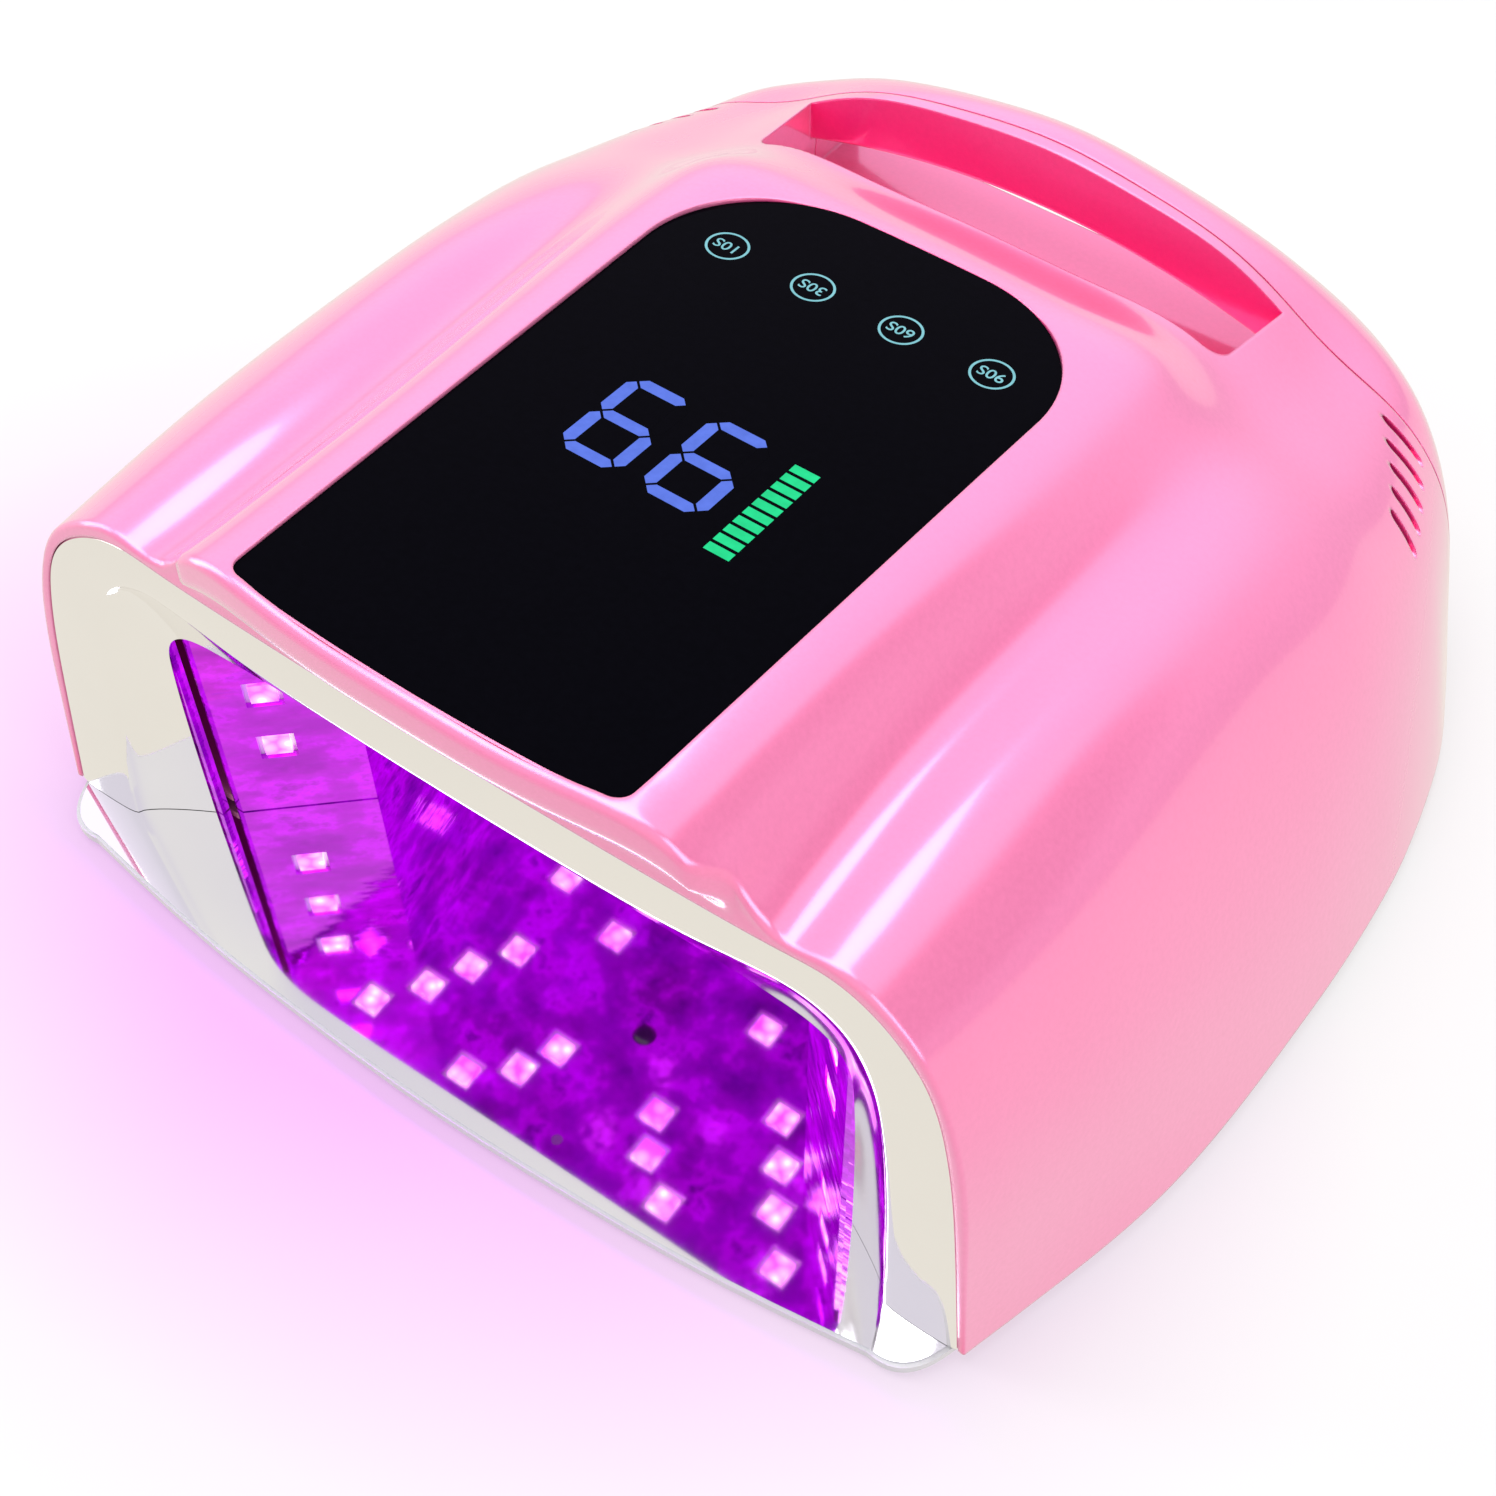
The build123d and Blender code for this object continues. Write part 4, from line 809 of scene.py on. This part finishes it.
metal("magnet_nickel", (0.78, 0.76, 0.72), (0.62, 0.60, 0.57), 0.18)
plastic("foot_rubber", (0.06, 0.06, 0.062), (0.035, 0.035, 0.037), 0.85, 700, 0.3)
plastic("inner_plastic", (0.55, 0.20, 0.30), (0.48, 0.16, 0.26), 0.5)
plastic("tray_plastic", (0.06, 0.06, 0.065), (0.04, 0.04, 0.045), 0.55)
wrap("cell_wrap")
metal("spring_steel", (0.70, 0.69, 0.66), (0.5, 0.49, 0.47), 0.25, (1, 1, 8))
metal("brass_hex", (0.85, 0.63, 0.28), (0.70, 0.50, 0.20), 0.25)
woven("cable_red", (0.55, 0.02, 0.02), (0.40, 0.01, 0.01))
woven("cable_black", (0.03, 0.03, 0.03), (0.015, 0.015, 0.015))
ribbon("ribbon_white")
plastic("switch_black", (0.02, 0.02, 0.021), (0.012, 0.012, 0.013), 0.35, 500, 0.1)
plastic("sensor_dark", (0.03, 0.012, 0.04), (0.02, 0.008, 0.03), 0.15, coat=0.8)
for thing, slot_name in ((main_body, "pink_gloss_shell"), (cover_body, "pink_gloss_cover"),
                         (trim_band, "chrome_trim"), (panel_bead, "pink_gloss_shell")):
    thing.data.materials.clear()
    thing.data.materials.append(bpy.data.materials[slot_name])


# ------------------------------------------------------------------ labels on the panel
def label(text, u, v, size):
    """Flat number label on the panel, read from the rear."""
    curve = bpy.data.curves.new("label", "FONT")
    curve.body = text
    curve.align_x = curve.align_y = "CENTER"
    curve.size = size / 1000
    curve.offset = 0.00003
    holder = bpy.data.objects.new("label", curve)
    bpy.context.scene.collection.objects.link(holder)
    bpy.context.view_layer.update()
    graph = bpy.context.evaluated_depsgraph_get()
    data = bpy.data.meshes.new_from_object(holder.evaluated_get(graph))
    bpy.data.objects.remove(holder)
    spot = place(*panel_point(u, v, 0.05))
    turn = Matrix.Rotation(radians(-PANEL_TILT), 4, "X") @ Matrix.Rotation(pi, 4, "Z")
    data.transform(Matrix.Translation(spot) @ turn)
    data.materials.clear()
    data.materials.append(bpy.data.materials["cyan_rings"])
    made = bpy.data.objects.new("label_" + text.lower(), data)
    bpy.context.scene.collection.objects.link(made)
    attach(made, "lamp")


for number, text in enumerate(("10S", "30S", "60S", "90S")):
    label(text, KEY_PITCH * (number - 1.5), KEY_ROW, LABEL_SIZE)


# ------------------------------------------------------------------ stage, lights and camera
def stage_plane(name, size, z):
    mesh = bmesh.new()
    bmesh.ops.create_grid(mesh, x_segments=1, y_segments=1, size=size / 2)
    data = bpy.data.meshes.new(name)
    mesh.to_mesh(data)
    mesh.free()
    plane = bpy.data.objects.new(name, data)
    plane.location.z = z
    bpy.context.scene.collection.objects.link(plane)
    return plane


def floor_finish():
    """Pale tabletop, nearly shadowless, with a painted pool of the violet light that spills from the
    mouth.
    """
    f = Finish("tabletop")
    # Painted light: a violet pool centred in front of the mouth, fading with distance, drawn into
    # the floor's colour.
    spot = place(-30, 22, 0)
    away = f.node("VectorMath", {"operation": "SUBTRACT"}, i0=f.where, i1=(spot.x, spot.y, 0))
    scaled = f.node("VectorMath", {"operation": "MULTIPLY"}, i0=away.outputs[0], i1=(0.72, 1.0, 0.0))
    reach = f.node("VectorMath", {"operation": "LENGTH"}, i0=scaled.outputs[0]).outputs["Value"]
    painted_spill = f.ramp(f.node("MapRange", i0=reach, i1=0.045, i2=0.135).outputs[0],
                   [(0.0, (0.93, 0.52, 0.98)), (0.35, (0.98, 0.72, 1.0)), (0.7, (1.0, 0.92, 1.0)),
                    (1.0, (1.0,) * 3)])
    soft = f.blend(f.noise(8, 2), painted_spill, f.blend(0.5, painted_spill, (1, 1, 1)))
    shade = f.node("Emission", Color=soft, Strength=0.80).outputs[0]
    matt = f.node("BsdfDiffuse", Color=painted_spill).outputs[0]
    both = f.node("MixShader", i0=0.3, i1=shade, i2=matt).outputs[0]
    seen_glossy = f.node("LightPath").outputs["Is Glossy Ray"]
    warm = f.node("Emission", Color=(0.90, 0.86, 0.78, 1), Strength=0.95).outputs[0]
    both = f.node("MixShader", i0=seen_glossy, i1=both, i2=warm).outputs[0]
    f.tree.links.new(both, f.out.inputs[0])
    return f.material


floor = stage_plane("floor", 8.0, 0.0)
floor.data.materials.append(floor_finish())


def soft_box(name, spot, aim, size, power, colour=(1, 1, 1)):
    """Rectangular soft light at a place, facing a point, both in metres."""
    data = bpy.data.lights.new(name, "AREA")
    data.shape = "RECTANGLE"
    data.size, data.size_y = size
    data.energy = power
    data.color = colour
    box = bpy.data.objects.new(name, data)
    box.location = spot
    box.rotation_mode = "QUATERNION"
    box.rotation_quaternion = (Vector(aim) - Vector(spot)).to_track_quat("-Z", "Y")
    bpy.context.scene.collection.objects.link(box)
    return box


soft_box("key_top", (-0.15, 0.1, 0.95), (0, 0, 0.05), (0.9, 0.7), 6.5)
soft_box("strip_left", (-0.9, -0.35, 0.45), (0, 0, 0.05), (0.35, 0.9), 4.0)
soft_box("fill_right", (0.95, -0.2, 0.6), (0, 0, 0.05), (0.5, 0.9), 4.0)
violet_fill = soft_box("violet_fill", place(0, 60, 58), place(0, 50, 0), (0.07, 0.07), 0.4,
                       (0.62, 0.05, 1.0))
violet_fill.visible_glossy = False


def studio_world():
    """Even light for matt surfaces; glossy ones see a room with bright and dark cards."""
    world = bpy.data.worlds.new("studio")
    bpy.context.scene.world = world
    f = Finish("studio", world)
    level = f.ramp(f.node("SeparateXYZ", i0=f.where).outputs[2],
                   [(0.0, (0.50, 0.44, 0.50)), (0.45, (0.84, 0.80, 0.88))])
    # Each card: where it hangs, the cosines at which it starts and is full, and its light.
    cards = [((-0.35, 0.60, 0.70), 0.50, 0.95, (1.25, 1.12, 1.30)),
             ((0.74, 0.32, 0.59), 0.86, 0.93, (0.36, 0.27, 0.33)),
             ((0.42, 0.52, 0.74), 0.965, 0.99, (1.3, 1.2, 1.3)),
             ((0.2, -0.85, 0.45), 0.75, 0.95, (0.95, 0.93, 0.90))]
    for aim, outer, inner, colour in cards:
        toward = f.along(f.where, Vector(aim).normalized())
        share = f.node("MapRange", {"interpolation_type": "SMOOTHSTEP"}, i0=toward,
                       i1=outer, i2=inner).outputs[0]
        level = f.blend(share, level, colour)
    glossy = f.node("LightPath").outputs["Is Glossy Ray"]
    colour = f.blend(glossy, (0.78, 0.78, 0.78), level)
    shine = f.node("Background", Color=colour).outputs[0]
    f.tree.links.new(shine, f.out.inputs[0])


studio_world()

bpy.context.scene.view_settings.view_transform = "Standard"

# Camera: three-quarter view from above, with its distances in metres.
azimuth, elevation, roll = radians(35.9), radians(54.2), radians(-0.6)
CAMERA_AIM = Vector((0, -0.006, 0.0392))
CAMERA_SHIFT = (-0.00299, -0.02596)
CAMERA_AWAY = 0.4386
FOCAL_LENGTH = 56.55       # millimetres
back = Vector((sin(azimuth) * cos(elevation), -cos(azimuth) * cos(elevation), sin(elevation)))
level_right = Vector((cos(azimuth), sin(azimuth), 0))
level_up = back.cross(level_right)
right = cos(roll) * level_right + sin(roll) * level_up
up = -sin(roll) * level_right + cos(roll) * level_up
lens = bpy.data.cameras.new("camera")
lens.lens = FOCAL_LENGTH
lens.sensor_width = 36.0
camera = bpy.data.objects.new("camera", lens)
centre = CAMERA_AIM + right * CAMERA_SHIFT[0] + up * CAMERA_SHIFT[1]
camera.matrix_world = Matrix.Translation(centre + back * CAMERA_AWAY) @ Matrix((
    (right.x, up.x, back.x, 0), (right.y, up.y, back.y, 0), (right.z, up.z, back.z, 0),
    (0, 0, 0, 1)))
bpy.context.scene.collection.objects.link(camera)
bpy.context.scene.camera = camera
